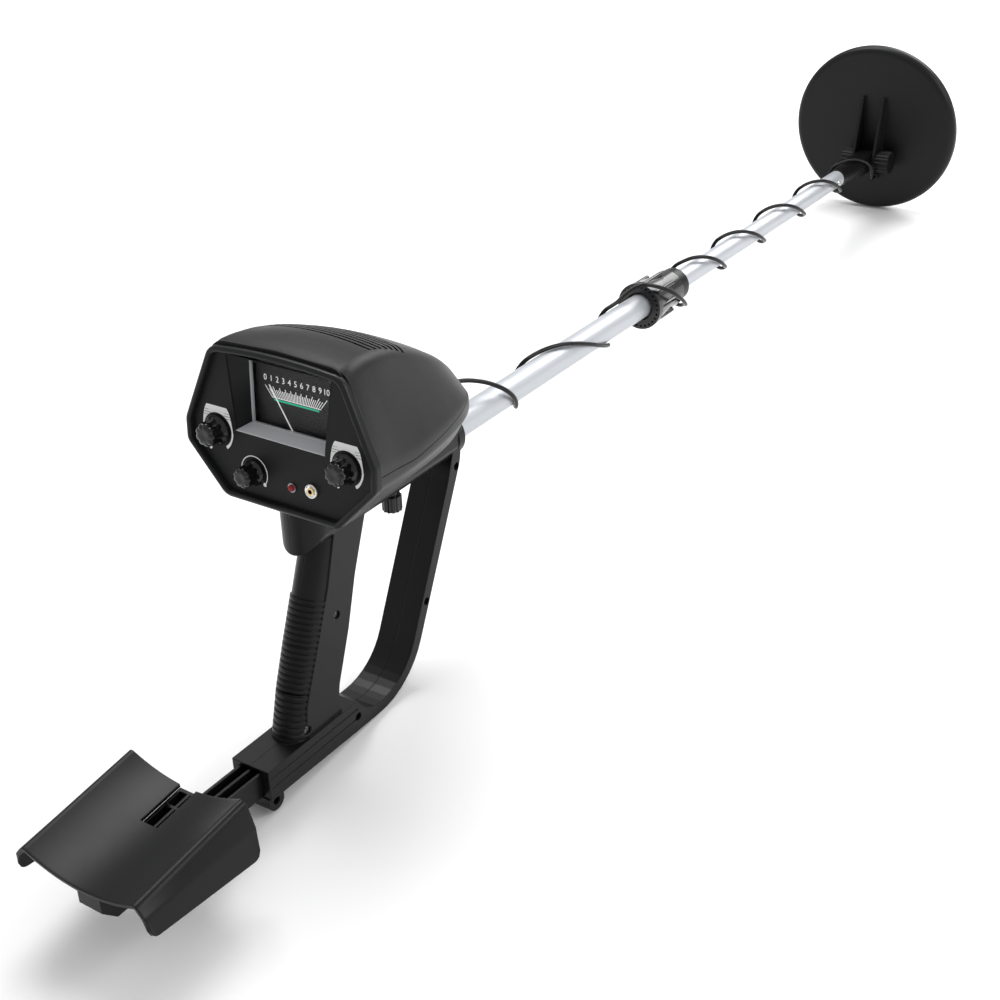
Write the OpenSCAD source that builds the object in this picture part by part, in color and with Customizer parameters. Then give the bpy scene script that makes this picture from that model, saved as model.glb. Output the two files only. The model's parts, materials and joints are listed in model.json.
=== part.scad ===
// Metal detector: a dial box on a D-handle with a sliding armrest, a two-part pole and a tilting search coil.
// It stands on the handle's loop and the coil's rim. +Y runs forward under the pole, +Z is up, +X is the user's right.
// Most parts are drawn in the pole's own frame: x to the right, y (called u) along the pole, z (called v) square to it.

/* [Pole] */
// Outer diameter of the upper tube
upper_tube_d = 24.5; // [24:0.1:25]
// Outer diameter of the lower tube
lower_tube_d = 20; // [19:0.1:20.2]
// Wall of both tubes
tube_wall = 1.2; // [1:0.1:1.4]
// Distance along the pole from the panel to the far end of the upper tube
upper_tube_end = 560; // [555:1:570]
// Distance along the pole from the panel to the coil's hinge, drawn right out
hinge_u = 1141; // [1130:1:1160]

/* [Control box] */
// Width of the box across its middle corners
box_w = 177; // [172:1:182]
// Wall of the box shells
box_wall = 2.6; // [2.2:0.1:3]
// Backward lean of the panel, in degrees
panel_lean = 4.2; // [3:0.1:5]
// Depth of the panel behind the rim's widest line
panel_depth = 3; // [2.5:0.1:3.5]

/* [Controls] */
// Diameter of the two large knobs
knob_d = 19; // [18:0.5:20]
// Diameter of the volume knob
small_knob_d = 16.5; // [16:0.5:17.5]
// Height of the knobs
knob_h = 15; // [13:0.5:16]
// Angle of the needle to the left of the dial's middle
needle_angle = 32.6; // [20:0.1:36]

/* [Handle] */
// Width of the handle and its armrest channel
handle_w = 36; // [35:0.5:38]
// Width of the grip
grip_w = 32; // [31:0.5:33]
// Number of ribs round the back of the grip
grip_ribs = 24; // [12:3:27]

/* [Armrest] */
// Width of the saddle between its top edges
saddle_w = 108; // [100:1:112]
// Length of the saddle
saddle_len = 106; // [95:1:112]
// Thickness of the saddle
saddle_t = 3; // [2.5:0.1:3.5]

/* [Search coil] */
// Diameter of the search coil
coil_d = 210; // [200:1:215]
// Thickness of the search coil
coil_t = 18; // [17:0.5:19]
// Lean of the coil from square to the pole, in degrees
coil_lean = 5.3; // [3:0.1:6]

/* [Lead] */
// Diameter of the coil lead
lead_d = 4; // [3.6:0.1:4.2]

/* [Hidden] */
$fn = 48;

// Fits: radial clearance of a turning or sliding fit, and the gap between bodies that pass each other
run_fit = 0.06;
gap = 0.3;
// Reach of a cut past the faces it goes through
over = 1;

// ---- Handle outline, in (u, v) ----
half_w = handle_w / 2;
arm_r = 19.5;
arm_back = 27;
arm_front = 203;
arm_top = 20;
loop_bottom = -195;
loop_arc_u = 72;
loop_arc_r = 67;
channel_back = -62;
channel_top = -167;
channel_bottom = -193.5;
lug_u = -54.5;
lug_v = -198.5;
lug_hole_r = 3.5;
clamp_u = 129;

// ---- Coil, in its own frame: origin at the hinge, x right, y up the disc, z out of its top face ----
coil_r = coil_d / 2;
coil_up = 33.2;
coil_top = -18.6;
coil_low = coil_top - coil_t;
coil_split = coil_top - coil_t / 2;
rim_r = 8;
shell_t = 2.5;
hinge_r = 4.03;
ear_in = 11.8;
ear_out = 15;

// ---- Armrest ----
saddle_front = -124;
saddle_back = saddle_front - saddle_len;

// ---- Resting pose: the loop's arc and the coil's rim both touch the ground ----
rim_t = coil_up - coil_r + rim_r;
rim_n = coil_low + rim_r;
rim_u = hinge_u - rim_t * sin(coil_lean) - rim_n * cos(coil_lean);
rim_v = rim_t * cos(coil_lean) - rim_n * sin(coil_lean);
loop_arc_v = loop_bottom + loop_arc_r;
span = norm([rim_u - loop_arc_u, rim_v - loop_arc_v]);
pole_pitch = atan2(rim_v - loop_arc_v, rim_u - loop_arc_u) + asin((loop_arc_r - rim_r) / span);
pose_z = loop_arc_u * sin(pole_pitch) - loop_arc_v * cos(pole_pitch) + loop_arc_r;
// The row's origin is midway between the armrest's back edge and the coil's far rim
far_t = coil_up + coil_r - rim_r;
far_u = hinge_u - far_t * sin(coil_lean) - rim_n * cos(coil_lean);
far_v = far_t * cos(coil_lean) - rim_n * sin(coil_lean);
far_y = far_u * cos(pole_pitch) + far_v * sin(pole_pitch) + rim_r;
skirt_back_v = -171;
near_y = saddle_back * cos(pole_pitch) + skirt_back_v * sin(pole_pitch);
pose_y = -(far_y + near_y) / 2;

// ---- Frames ----
module posed() { translate([0, pose_y, pose_z]) rotate([-pole_pitch, 0, 0]) children(); }
// Local x right, y up the panel, z out of it towards the user
module on_panel() { posed() rotate([90 - panel_lean, 0, 0]) children(); }
module on_coil() { posed() translate([0, hinge_u, 0]) rotate([90 + coil_lean, 0, 0]) children(); }

// ---- Shape helpers ----
// A cylinder along the pole between two stations
module along(r, u0, u1) { translate([0, u0, 0]) rotate([-90, 0, 0]) cylinder(r = r, h = u1 - u0); }
// A cylinder across the pole, along x
module across(r, x0, x1) { translate([x0, 0, 0]) rotate([0, 90, 0]) cylinder(r = r, h = x1 - x0); }
module ring(r1, r0, h) {
    difference() {
        cylinder(r = r1, h = h);
        translate([0, 0, -over]) cylinder(r = r0, h = h + 2 * over);
    }
}
// An outline in (u, v) given thickness along x
module slab(outline, x0, x1) { translate([x0, 0, 0]) rotate([90, 0, 90]) linear_extrude(x1 - x0) polygon(outline); }
module block(x0, x1, u0, u1, v0, v1) { translate([x0, u0, v0]) cube([x1 - x0, u1 - u0, v1 - v0]); }

function unit(v) = v / norm(v);
function xy(p) = [p[0], p[1]];
// One corner [x, y, r] between its neighbours a and b, as an arc of n steps
function corner(p, a, b, n) =
    let(pa = unit(xy(a) - xy(p)), pb = unit(xy(b) - xy(p)),
        half = acos(pa * pb) / 2,
        c = xy(p) + unit(pa + pb) * p[2] / sin(half),
        s = xy(p) + pa * p[2] / tan(half) - c,
        e = xy(p) + pb * p[2] / tan(half) - c,
        a0 = atan2(s[1], s[0]),
        turn = (atan2(e[1], e[0]) - a0 + 540) % 360 - 180)
    [for (i = [0:n]) c + p[2] * [cos(a0 + turn * i / n), sin(a0 + turn * i / n)]];
// An outline of [x, y, r] corners with each corner rounded
function rounded(pts, n = 6) =
    let(m = len(pts))
    [for (i = [0:m - 1]) each pts[i][2] == 0 ? [xy(pts[i])]
        : corner(pts[i], pts[(i + m - 1) % m], pts[(i + 1) % m], n)];
// The same outline moved inwards by w; its corners run counter-clockwise
function inset(pts, w) =
    let(m = len(pts))
    [for (i = [0:m - 1])
        let(e1 = unit(xy(pts[i]) - xy(pts[(i + m - 1) % m])), e2 = unit(xy(pts[(i + 1) % m]) - xy(pts[i])),
            n1 = [-e1[1], e1[0]], n2 = [-e2[1], e2[0]],
            q = xy(pts[i]) + w * (n1 + n2) / (1 + n1 * n2))
        [q[0], q[1], pts[i][2] == 0 ? 0 : max(pts[i][2] - w, 0.6)]];
// A closed skin through rings of equal length, each counter-clockwise as seen from the first ring's side.
// With strip, a ring is a thin band whose second half comes back along its first, so its ends are closed by pairs.
module loft(rings, strip = false) {
    n = len(rings[0]);
    m = len(rings);
    sides = [for (i = [0:m - 2], j = [0:n - 1])
        let(a = i * n + j, b = i * n + (j + 1) % n)
        each [[a, b, b + n], [a, b + n, a + n]]];
    end = strip ? [for (j = [0:n / 2 - 2]) [j, j + 1, n - 2 - j, n - 1 - j]] : [[for (j = [0:n - 1]) j]];
    near = [for (f = end) [for (i = [len(f) - 1:-1:0]) f[i]]];
    far = [for (f = end) [for (j = f) (m - 1) * n + j]];
    polyhedron([for (r = rings) each r], concat(sides, near, far));
}

// ---- Control box ----
// Sections: station u, lean share, half-width and height of the top corners, rise of the crown, half-width of the
// side, heights of its upper and lower corners, half-width and height of the bottom corners
box_half = box_w / 2;
panel_section = [0, 1, 58.5, 142, 2.5, box_half, 75, 57, 53, arm_top];
box_sections = [
    panel_section,
    [15, 0.5, 58, 142, 2.5, box_half - 2.5, 73, 56, 54, arm_top],
    [50, 0, 54, 139, 3, box_half - 7.5, 66, 52, 53, arm_top],
    [90, 0, 47, 127, 3, box_half - 13, 63, 50, 49, arm_top],
    [125, 0, 41, 110, 3, box_half - 20.5, 61, 49, 46, arm_top],
    [155, 0, 34, 92, 3, box_half - 30.5, 58, 47, 41, arm_top],
    [178, 0, 27, 74, 3, box_half - 43.5, 54, 44, 33, arm_top + 0.5],
    [193, 0, 19, 60, 2, box_half - 57.5, 49, 40, 24, arm_top + 4],
    [202, 0, 9, 47, 1, box_half - 74.5, 43, 36, 11, arm_top + 11]
];
bezel_d = 5.8;
parting = [[-20, 68], [4, 67], [60, 57], [240, 57]];
function corners_of(s) =
    let(k = s[5] / box_half)
    [[s[8], s[9], 12 * k], [s[5], s[7], 8 * k], [s[5], s[6], 10 * k], [s[2], s[3], 14 * k], [0, s[3] + s[4], 0],
     [-s[2], s[3], 14 * k], [-s[5], s[6], 10 * k], [-s[5], s[7], 8 * k], [-s[8], s[9], 12 * k]];
function wall_at(s) = box_wall * (1 + 0.9 * pow(s[0] / 202, 4));
function section_ring(s, w, du) =
    [for (p = rounded(inset(corners_of(s), w), 3)) [p[0], s[0] + du + s[1] * tan(panel_lean) * p[1], p[1]]];
module box_outer() {
    loft([for (i = [0:len(box_sections) - 1]) section_ring(box_sections[i], 0, i == 0 ? bezel_d / cos(panel_lean) : 0)]);
}
module box_inner() {
    loft([for (i = [0:len(box_sections) - 1])
        section_ring(box_sections[i], wall_at(box_sections[i]), i == 0 ? -over : -box_sections[i][0] / 90)]);
}
module above_parting(top = 200) { slab(concat(parting, [[240, top], [-20, top]]), -100, 100); }
// Posts of the four long screws that close the box, and of the circuit board
post_r = 3.6;
screw_r = 1.5;
box_posts = [[-40, 106], [40, 106], [-28, 163], [28, 163]];
board_posts = [[-29, 92], [29, 92], [-29, 143], [29, 143]];
board_v = 46;
louvres = 7;
louvre_pitch = 6.2;
louvre_w = 2.6;
// Battery compartment doors in the floor, either side of the handle
door_in = 21;
door_out = 43;
door_u0 = 30;
door_u1 = 80;
module door_cuts() {
    for (s = [-1, 1]) block(min(s * door_in, s * door_out), max(s * door_in, s * door_out), door_u0, door_u1, 15, 26);
}

module box_upper_shell() {
    color("#1d1e20") posed() difference() {
        intersection() { box_outer(); above_parting(); }
        difference() {
            box_inner();
            for (p = box_posts) translate([p[0], p[1], 50]) cylinder(r = post_r, h = 90);
        }
        for (p = box_posts) translate([p[0], p[1], 40]) cylinder(r = screw_r, h = 32);
        for (i = [0:louvres - 1])
            translate([-48, 56 + i * louvre_pitch, 112]) cube([96, louvre_w, 40]);
        gland_seat();
    }
}

module box_lower_shell() {
    color("#1d1e20") posed() difference() {
        box_outer();
        above_parting();
        difference() {
            box_inner();
            for (p = box_posts) translate([p[0], p[1], 10]) cylinder(r = post_r, h = 60);
            for (p = board_posts) translate([p[0], p[1], 10]) cylinder(r = post_r, h = board_v - 10);
        }
        for (p = box_posts) translate([p[0], p[1], 10]) cylinder(r = screw_r, h = 60);
        for (p = box_posts) translate([p[0], p[1], arm_top - over]) cylinder(r = 3, h = over + 1.4);
        for (p = board_posts) translate([p[0], p[1], board_v - 10]) cylinder(r = 1.2, h = 20);
        door_cuts();
        gland_seat();
    }
}

// Flat rings of the rim, in the panel's frame: distance in front of the panel plane and inset
rim_rings = [[-bezel_d, 0], [0, 0], [1, 0.5], [1.7, 1.6], [1.9, 2.8]];
panel_edge = 4.8;
panel_t = 2.5;
function panel_outline(w) = rounded(inset(corners_of(panel_section), w), 3);
function panel_ring(z, w) = [for (p = panel_outline(w)) [p[0], p[1], z]];
module box_bezel() {
    color("#26272a") on_panel() difference() {
        loft_up([for (r = rim_rings) panel_ring(r[0], r[1])]);
        translate([0, 0, -panel_depth]) linear_extrude(10) polygon(panel_outline(panel_edge));
        translate([0, 0, -bezel_d - over]) linear_extrude(bezel_d - panel_depth + over) polygon(panel_outline(box_wall));
    }
}
// The same skin for rings stacked along +z, counter-clockwise as seen from above
module loft_up(rings) { mirror([0, 0, 1]) loft([for (r = rings) [for (p = r) [p[0], p[1], -p[2]]]]); }

// Meter recess: corners on the panel and at the window
meter_front = [[-47.7, 133], [-41.7, 73.2], [41, 72.6], [50, 133]];
meter_back = [[-38, 124.5], [-38, 78.6], [38, 78.6], [38, 124.5]];
window_z = -17;
window_t = 1.5;
knob_disc_at = [-60, 69.5];
knob_sens_at = [60, 68];
knob_volume_at = [-26.4, 44];
led_at = [9.2, 40.7];
jack_at = [28.1, 43.1];
panel_front = -panel_depth;
panel_back = -panel_depth - panel_t;
bush_r = 3.5;
shaft_r = 3;
pot_r = 8;
led_r = 2.5;
led_ring_r = 3.6;
jack_bush_r = 3;
jack_bore_r = 1.8;
pots = [knob_disc_at, knob_sens_at, knob_volume_at];
needle_at = [0.4, 69];
needle_len = 45;

module control_panel() {
    color("#141517") on_panel() difference() {
        translate([0, 0, panel_back]) linear_extrude(panel_t) polygon(panel_outline(box_wall + 0.1));
        translate([0, 0, panel_back - over]) linear_extrude(panel_t + 2 * over) polygon(meter_front);
        for (p = pots) translate([p[0], p[1], -10]) cylinder(r = bush_r, h = 10);
        translate([jack_at[0], jack_at[1], -10]) cylinder(r = jack_bush_r, h = 10);
        translate([led_at[0], led_at[1], -10]) cylinder(r = led_ring_r, h = 10);
    }
}

// The meter's clear front: four sloping sides and a flat pane
function frustum_ring(k, w, z) =
    [for (i = [0:3])
        let(p = meter_front[i] * (1 - k) + meter_back[i] * k)
        [p[0] - sign(p[0]) * w, p[1] + (p[1] > 100 ? -w : w), z]];
module meter_window() {
    color([0.75, 0.8, 0.85, 0.4]) on_panel() difference() {
        loft_up([frustum_ring(1, -0.1, window_z - window_t), frustum_ring(0, 0.1, panel_front)]);
        loft_up([frustum_ring(1, window_t, window_z), frustum_ring(0, window_t, panel_front + over)]);
    }
}
meter_box = [-41, 41, 60, 127.5];
dial_z = -21.6;
meter_depth = -34;
module meter_body() {
    color("#101113") on_panel() difference() {
        translate([meter_box[0], meter_box[2], meter_depth])
            cube([meter_box[1] - meter_box[0], meter_box[3] - meter_box[2], window_z - window_t - meter_depth]);
        translate([meter_box[0] + 2, meter_box[2] + 2, meter_depth + 2])
            cube([meter_box[1] - meter_box[0] - 4, meter_box[3] - meter_box[2] - 4, 40]);
    }
}
module meter_dial() {
    color("#0c0c0e") on_panel() difference() {
        translate([meter_box[0] + 2, meter_box[2] + 2, dial_z - 0.8])
            cube([meter_box[1] - meter_box[0] - 4, meter_box[3] - meter_box[2] - 4, 0.8]);
        translate([needle_at[0], needle_at[1], dial_z - 2]) cylinder(r = 6, h = 4);
    }
}
module meter_coil() {
    color("#a06a3a") on_panel() translate([needle_at[0], needle_at[1], meter_depth + 2 + gap])
        cylinder(r = 5, h = dial_z + 0.6 - meter_depth - 2 - gap);
}
needle_tail = 6;
module meter_needle() {
    color("white") on_panel() translate([needle_at[0], needle_at[1], dial_z + 0.6]) {
        cylinder(r = 2.5, h = 0.7);
        rotate([0, 0, needle_angle]) translate([-0.4, -needle_tail, 0]) cube([0.8, needle_len + needle_tail, 0.5]);
    }
}

module potentiometers() {
    color("#8f9296") on_panel() for (p = pots) translate([p[0], p[1], 0]) difference() {
        union() {
            translate([0, 0, panel_back - 9]) cylinder(r = pot_r, h = 9);
            translate([0, 0, panel_back]) cylinder(r = bush_r, h = panel_t + 3.4);
        }
        translate([0, 0, panel_back - 6]) cylinder(r = shaft_r + run_fit, h = 20);
    }
}
module pot_nuts() {
    color("silver") on_panel() for (p = pots) translate([p[0], p[1], panel_front]) difference() {
        cylinder(r = 5.6, h = 2, $fn = 6);
        translate([0, 0, -over]) cylinder(r = bush_r, h = 4);
    }
}
// A lobed knob with a flared skirt that hangs over its nut; the shaft's upper half is in its bore
knob_lift = 0.5;
skirt_h = 3.6;
skirt_flare = 1.2;
knob_lobes = 9;
module fluted_knob(d, lobes) {
    difference() {
        union() {
            cylinder(r1 = d / 2 * skirt_flare, r2 = d / 2, h = skirt_h);
            cylinder(r = d / 2, h = knob_h - 3);
            translate([0, 0, knob_h - 3]) cylinder(r1 = d / 2, r2 = d / 2 - 0.8, h = 3);
        }
        for (i = [0:lobes - 1]) rotate(i * 360 / lobes) translate([d / 2 + 1.5, 0, skirt_h]) cylinder(r = 2.6, h = 30);
        translate([0, 0, -over]) cylinder(r = 6.3, h = 5 + over);
        translate([0, 0, 0]) cylinder(r = shaft_r, h = knob_h - 3);
        translate([-0.5, d / 4, knob_h - 0.6]) cube([1, d / 4, 2]);
    }
}
// The large knobs' pointers rest at the start of their travel, down to the left
knob_start = 150;
module at_knob(p, turn = knob_start) {
    on_panel() translate([p[0], p[1], panel_front + knob_lift]) rotate(turn) children();
}
module knob_shaft(p) {
    color("silver") on_panel() translate([p[0], p[1], panel_back - 5.5])
        cylinder(r = shaft_r, h = panel_t + 5.5 + knob_lift + knob_h - 3);
}
module disc_knob() { color("#17181a") at_knob(knob_disc_at) fluted_knob(knob_d, knob_lobes); }
module sens_knob() { color("#17181a") at_knob(knob_sens_at) fluted_knob(knob_d, knob_lobes); }
module volume_knob() { color("#17181a") at_knob(knob_volume_at, 0) fluted_knob(small_knob_d, knob_lobes); }
module disc_shaft() { knob_shaft(knob_disc_at); }
module sens_shaft() { knob_shaft(knob_sens_at); }
module volume_shaft() { knob_shaft(knob_volume_at); }

module headphone_jack() {
    color("#5c5f63") on_panel() translate([jack_at[0], jack_at[1], 0]) difference() {
        union() {
            translate([-5, -5, panel_back - 12]) cube([10, 10, 12]);
            translate([0, 0, panel_back]) cylinder(r = jack_bush_r, h = panel_t + 3);
        }
        translate([0, 0, panel_back - 11]) cylinder(r = jack_bore_r, h = 30);
    }
}
module jack_nut() {
    color("silver") on_panel() translate([jack_at[0], jack_at[1], panel_front]) ring(5.5, jack_bush_r, 2.6);
}
module led_holder() {
    color("#101113") on_panel() translate([led_at[0], led_at[1], panel_back - 1]) ring(led_ring_r, led_r, panel_t + 1.8);
}
module led_lamp() {
    color("crimson") on_panel() translate([led_at[0], led_at[1], panel_back - 3]) {
        cylinder(r = led_r, h = panel_t + 4);
        translate([0, 0, panel_t + 4]) intersection() {
            sphere(r = led_r);
            cylinder(r = 4, h = 4);
        }
    }
}

module box_screws() {
    color("#9a9da1") posed() for (p = box_posts) translate([p[0], p[1], arm_top]) {
        cylinder(r = 2.9, h = 1.3);
        cylinder(r = screw_r, h = 46);
    }
}
module circuit_board() {
    color("#2c6e3f") posed() difference() {
        block(-34, 34, 86, 150, board_v, board_v + 1.6);
        for (p = board_posts) translate([p[0], p[1], board_v - 4]) cylinder(r = 1.2, h = 10);
    }
}
module board_screws() {
    color("#c8c9cb") posed() for (p = board_posts) translate([p[0], p[1], board_v - 6]) {
        cylinder(r = 1.2, h = 7.6);
        translate([0, 0, 7.6]) cylinder(r = 2.4, h = 1.6);
    }
}
speaker_u = 75;
module speaker() {
    color("#3a3b3e") posed() translate([0, speaker_u, 95]) {
        cylinder(r = 12, h = 8);
        translate([0, 0, 8]) difference() {
            cylinder(r = 25, h = 9);
            translate([0, 0, 2]) cylinder(r = 23, h = 9);
        }
    }
}
battery_u0 = 31;
module batteries() {
    color("#b08d3c") posed() for (s = [-1, 1])
        translate([s * 33.6 - 13.2, battery_u0, arm_top + box_wall + gap]) cube([26.4, 46, 17.4]);
}
module battery_clips() {
    color("#202124") posed() for (s = [-1, 1])
        translate([s * 33.6 - 12, battery_u0 + 46, arm_top + box_wall + gap + 1]) cube([24, 5, 15]);
}
// A door flush with the floor, that turns about its rounded outer edge
door_t = 2.2;
module battery_door(s) {
    hinge = door_out - gap - door_t / 2;
    color("#1d1e20") posed() {
        block(min(s * (door_in + gap), s * hinge), max(s * (door_in + gap), s * hinge), door_u0 + gap, door_u1 - gap,
              arm_top, arm_top + door_t);
        translate([s * hinge, 0, arm_top + door_t / 2]) along(door_t / 2, door_u0 + gap, door_u1 - gap);
    }
}
module battery_door_left() { battery_door(-1); }
module battery_door_right() { battery_door(1); }

// ---- Lead: where it crosses the two sides of the pole, then angle and radius by rule ----
gland_at = [-10, 197, 34];
gland_len = 16;
gland_r = 3.4;
lead_r = lead_d / 2;
side_turn = -46.6;
crossings = [297, 349, 460, 492, 607, 640, 713, 734, 813, 843, 924, 954, 1034, 1063, 1138];
// Where the upper stretch ends and the lower begins, and where the tail takes over, in half turns
lead_split = 4.6;
lead_last = 13.7;
// Gap between two stretches on different bodies, in half turns
lead_gap = 0.015;
collar_near = 538;
collar_far = 597.7;
function smooth(a, b, t) = a + (b - a) * t * t * (3 - 2 * t);
function ramp(u, u0, u1) = min(1, max(0, (u - u0) / (u1 - u0)));
function wound_u(s) = let(i = min(floor(s), len(crossings) - 2)) crossings[i] + (crossings[i + 1] - crossings[i]) * (s - i);
function wound_r(u) = smooth(15.6, 27.6, ramp(u, 500, 536)) - smooth(0, 13, ramp(u, 580, 650));
function wound(s) =
    let(u = wound_u(s), r = wound_r(u), a = side_turn - 180 * s)
    [r * cos(a), u, r * sin(a)];
lead_steps = 5.2;
function wound_stretch(s0, s1) = let(n = ceil((s1 - s0) * lead_steps)) [for (i = [0:n]) wound(s0 + (s1 - s0) * i / n)];
gland_mouth = gland_at + [0, gland_len, 0];
lead_start = [gland_mouth, [-10, 222, 34], [-7, 236, 32.5], [1, 253, 28], [10, 268, 20], [15.5, 282, 8], [14.5, 291, -3]];
// A round tube swept along a route; every ring keeps the same roll about the pole's direction
module lead(route, r = lead_r, sides = 8) {
    m = len(route);
    t = [for (i = [0:m - 1]) unit(route[min(i + 1, m - 1)] - route[max(i - 1, 0)])];
    rings = [for (i = [0:m - 1])
        let(e1 = unit(cross(t[i], unit([route[i][0] + 0.01, 0, route[i][2]]))), e2 = cross(t[i], e1))
        [for (j = [0:sides - 1]) route[i] + r * (cos(360 * j / sides) * e1 + sin(360 * j / sides) * e2)]];
    loft([for (ring = rings) [for (j = [0:sides - 1]) ring[sides - 1 - j]]]);
}
module gland_seat() { translate(gland_at - [0, 10, 0]) rotate([-90, 0, 0]) cylinder(r = gland_r, h = 40); }
module cable_gland() {
    color("#0f1011") posed() translate(gland_at) rotate([-90, 0, 0]) cylinder(r = gland_r, h = gland_len);
}
module cable_upper() { color("#0f1011") posed() lead(concat(lead_start, wound_stretch(0, lead_split))); }
module cable_lower() { color("#0f1011") posed() lead(wound_stretch(lead_split + lead_gap, lead_last)); }

// ---- Pole ----
module upper_tube() {
    color("#c9ccd1") posed() difference() {
        along(upper_tube_d / 2, 60, upper_tube_end);
        along(upper_tube_d / 2 - tube_wall, 60 - over, upper_tube_end + over);
    }
}
lower_r = lower_tube_d / 2;
lower_back = 300;
lower_front = 1043;
module lower_tube() {
    color("#c9ccd1") posed() difference() {
        along(lower_r, lower_back, lower_front);
        along(lower_r - tube_wall, lower_back - over, lower_front + over);
        translate([0, 1025, 0]) across(2, -20, 20);
    }
}
// A sleeve on the hidden end of the lower tube that runs inside the upper one
module tube_bush() {
    color("#e6e6e2") posed() difference() {
        along(upper_tube_d / 2 - tube_wall - run_fit, lower_back, lower_back + 34);
        along(lower_r, lower_back - over, lower_back + 34 + over);
    }
}
sleeve_r = 14.2;
nose_r = 12.5;
module tube_ferrule() {
    color("#17181a") posed() difference() {
        union() {
            along(sleeve_r, collar_near + 4, collar_far - 2);
            along(nose_r, collar_far - 2, 606);
        }
        along(upper_tube_d / 2, collar_near, upper_tube_end);
        along(lower_r + run_fit, upper_tube_end - over, 620);
    }
}
module clamp_nut() {
    color("#17181a") posed() difference() {
        along(17, collar_far + gap, 613);
        along(nose_r, collar_far - over, 606);
        along(lower_r + 0.5, 600, 620);
    }
}
collar_r = 23.5;
module lock_collar() {
    color("#17181a") posed() difference() {
        union() {
            along(collar_r, collar_near, collar_near + 7);
            translate([0, collar_near + 7, 0]) rotate([-90, 0, 0]) cylinder(r1 = 22.4, r2 = 19, h = 32);
            along(19, collar_near + 39, collar_far);
            for (i = [0:7]) translate([0, collar_near + 3, 0]) rotate([-90, i * 45, 0])
                translate([20.4, 0, 0]) cylinder(r = 2.3, h = 40);
        }
        along(sleeve_r + run_fit, collar_near - over, collar_far + over);
        for (i = [0:25]) translate([0, collar_near - over, 0]) rotate([-90, i * 360 / 26, 0])
            translate([20.2, 0, 0]) cylinder(r = 1.1, h = 4);
    }
}
yoke_half = 9.8;
module yoke() {
    color("#17181a") posed() difference() {
        union() {
            along(lower_r - tube_wall - 0.05, 1005, lower_front);
            along(10.6, lower_front, 1062);
            along(11, 1062, 1108);
            block(-yoke_half, yoke_half, 1100, hinge_u, -11, 11);
            translate([0, hinge_u, 0]) across(12, -yoke_half, yoke_half);
        }
        translate([0, 1025, 0]) across(2, -20, 20);
        translate([0, hinge_u, 0]) across(hinge_r + run_fit, -20, 20);
    }
}
module yoke_rivet() {
    color("silver") posed() translate([0, 1025, 0]) {
        across(2, -10.4, 10.4);
        for (s = [-1, 1]) translate([s * 10.8, 0, 0]) across(3, -0.6, 0.6);
    }
}

// ---- Handle frame ----
module arm() {
    intersection() {
        union() {
            along(arm_r, arm_back - arm_r, arm_front);
            block(-arm_r, arm_r, arm_back - arm_r, arm_front, 0, arm_top);
        }
        union() {
            translate([0, arm_back, -30]) cylinder(r = 18.9, h = 60);
            block(-18.9, 18.9, arm_back, arm_front, -30, arm_top);
        }
    }
    along(20, arm_front - 5, arm_front + 3);
}
// The strut and the loop's floor in one outline
strut = rounded([[40, loop_bottom, 0], [114, loop_bottom, loop_arc_r], [201, -17, 40], [201, 10, 0], [190, 10, 0],
                 [189.5, -10, 0], [182, -31, 30], [108, -185, 54], [66, -185, 0], [56, -180, 0], [40, -180, 0]], 8);
channel = [[channel_back, channel_bottom], [40, loop_bottom], [60, loop_bottom], [60, -184], [46, -170],
           [44, channel_top], [channel_back, channel_top]];
grip_web = rounded([[-13, channel_top - 3, 0], [30, channel_top - 3, 0], [26, -160, 0], [28, -143, 40], [45, -99, 60],
                    [58, -56, 60], [78, -5, 0], [40, -5, 0], [26, -51, 60], [12, -86, 60], [-12, -143, 60]], 4);
// Stations of the grip's back: the axis of its half-round runs ahead of the seam by its radius
grip_line = [[43, -12], [23.8, -62], [10, -97], [-3, -132], [-14, -172]];
grip_r = grip_w / 2;
module grip_pieces(r, from = 0) {
    for (i = [0:len(grip_line) - 2]) {
        d = grip_line[i + 1] - grip_line[i];
        translate([0, grip_line[i][0], grip_line[i][1]]) rotate([atan2(d[0], -d[1]) + 180, 0, 0])
            translate([0, 0, from]) cylinder(r = r, h = norm(d));
    }
}
module grip_back() {
    per = grip_ribs / 3;
    grip_pieces(grip_r - 1);
    for (i = [0:2]) {
        d = grip_line[i + 2] - grip_line[i + 1];
        pitch = norm(d) / per;
        translate([0, grip_line[i + 1][0], grip_line[i + 1][1]]) rotate([atan2(d[0], -d[1]) + 180, 0, 0])
            for (k = [0:per - 1]) translate([0, 0, (k + 0.2) * pitch]) cylinder(r = grip_r, h = pitch * 0.6);
    }
}
frame_recesses = [[194, -22.5], [143, -126], [33, -80], [-12, -160], [45, -182]];
recess_x = half_w - 3;
bar_r_u = 11.4;
module handle_solid() {
    arm();
    slab(strut, -half_w, half_w);
    slab(channel, -half_w, half_w);
    slab(grip_web, -grip_r, grip_r);
    intersection() {
        grip_back();
        block(-40, 40, -60, 80, channel_top - 2, 0);
    }
    translate([0, lug_u, lug_v]) across(8.5, -16, 16);
    block(-16, 16, lug_u - 8.5, lug_u + 8.5, lug_v, channel_bottom + 1);
}
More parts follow.
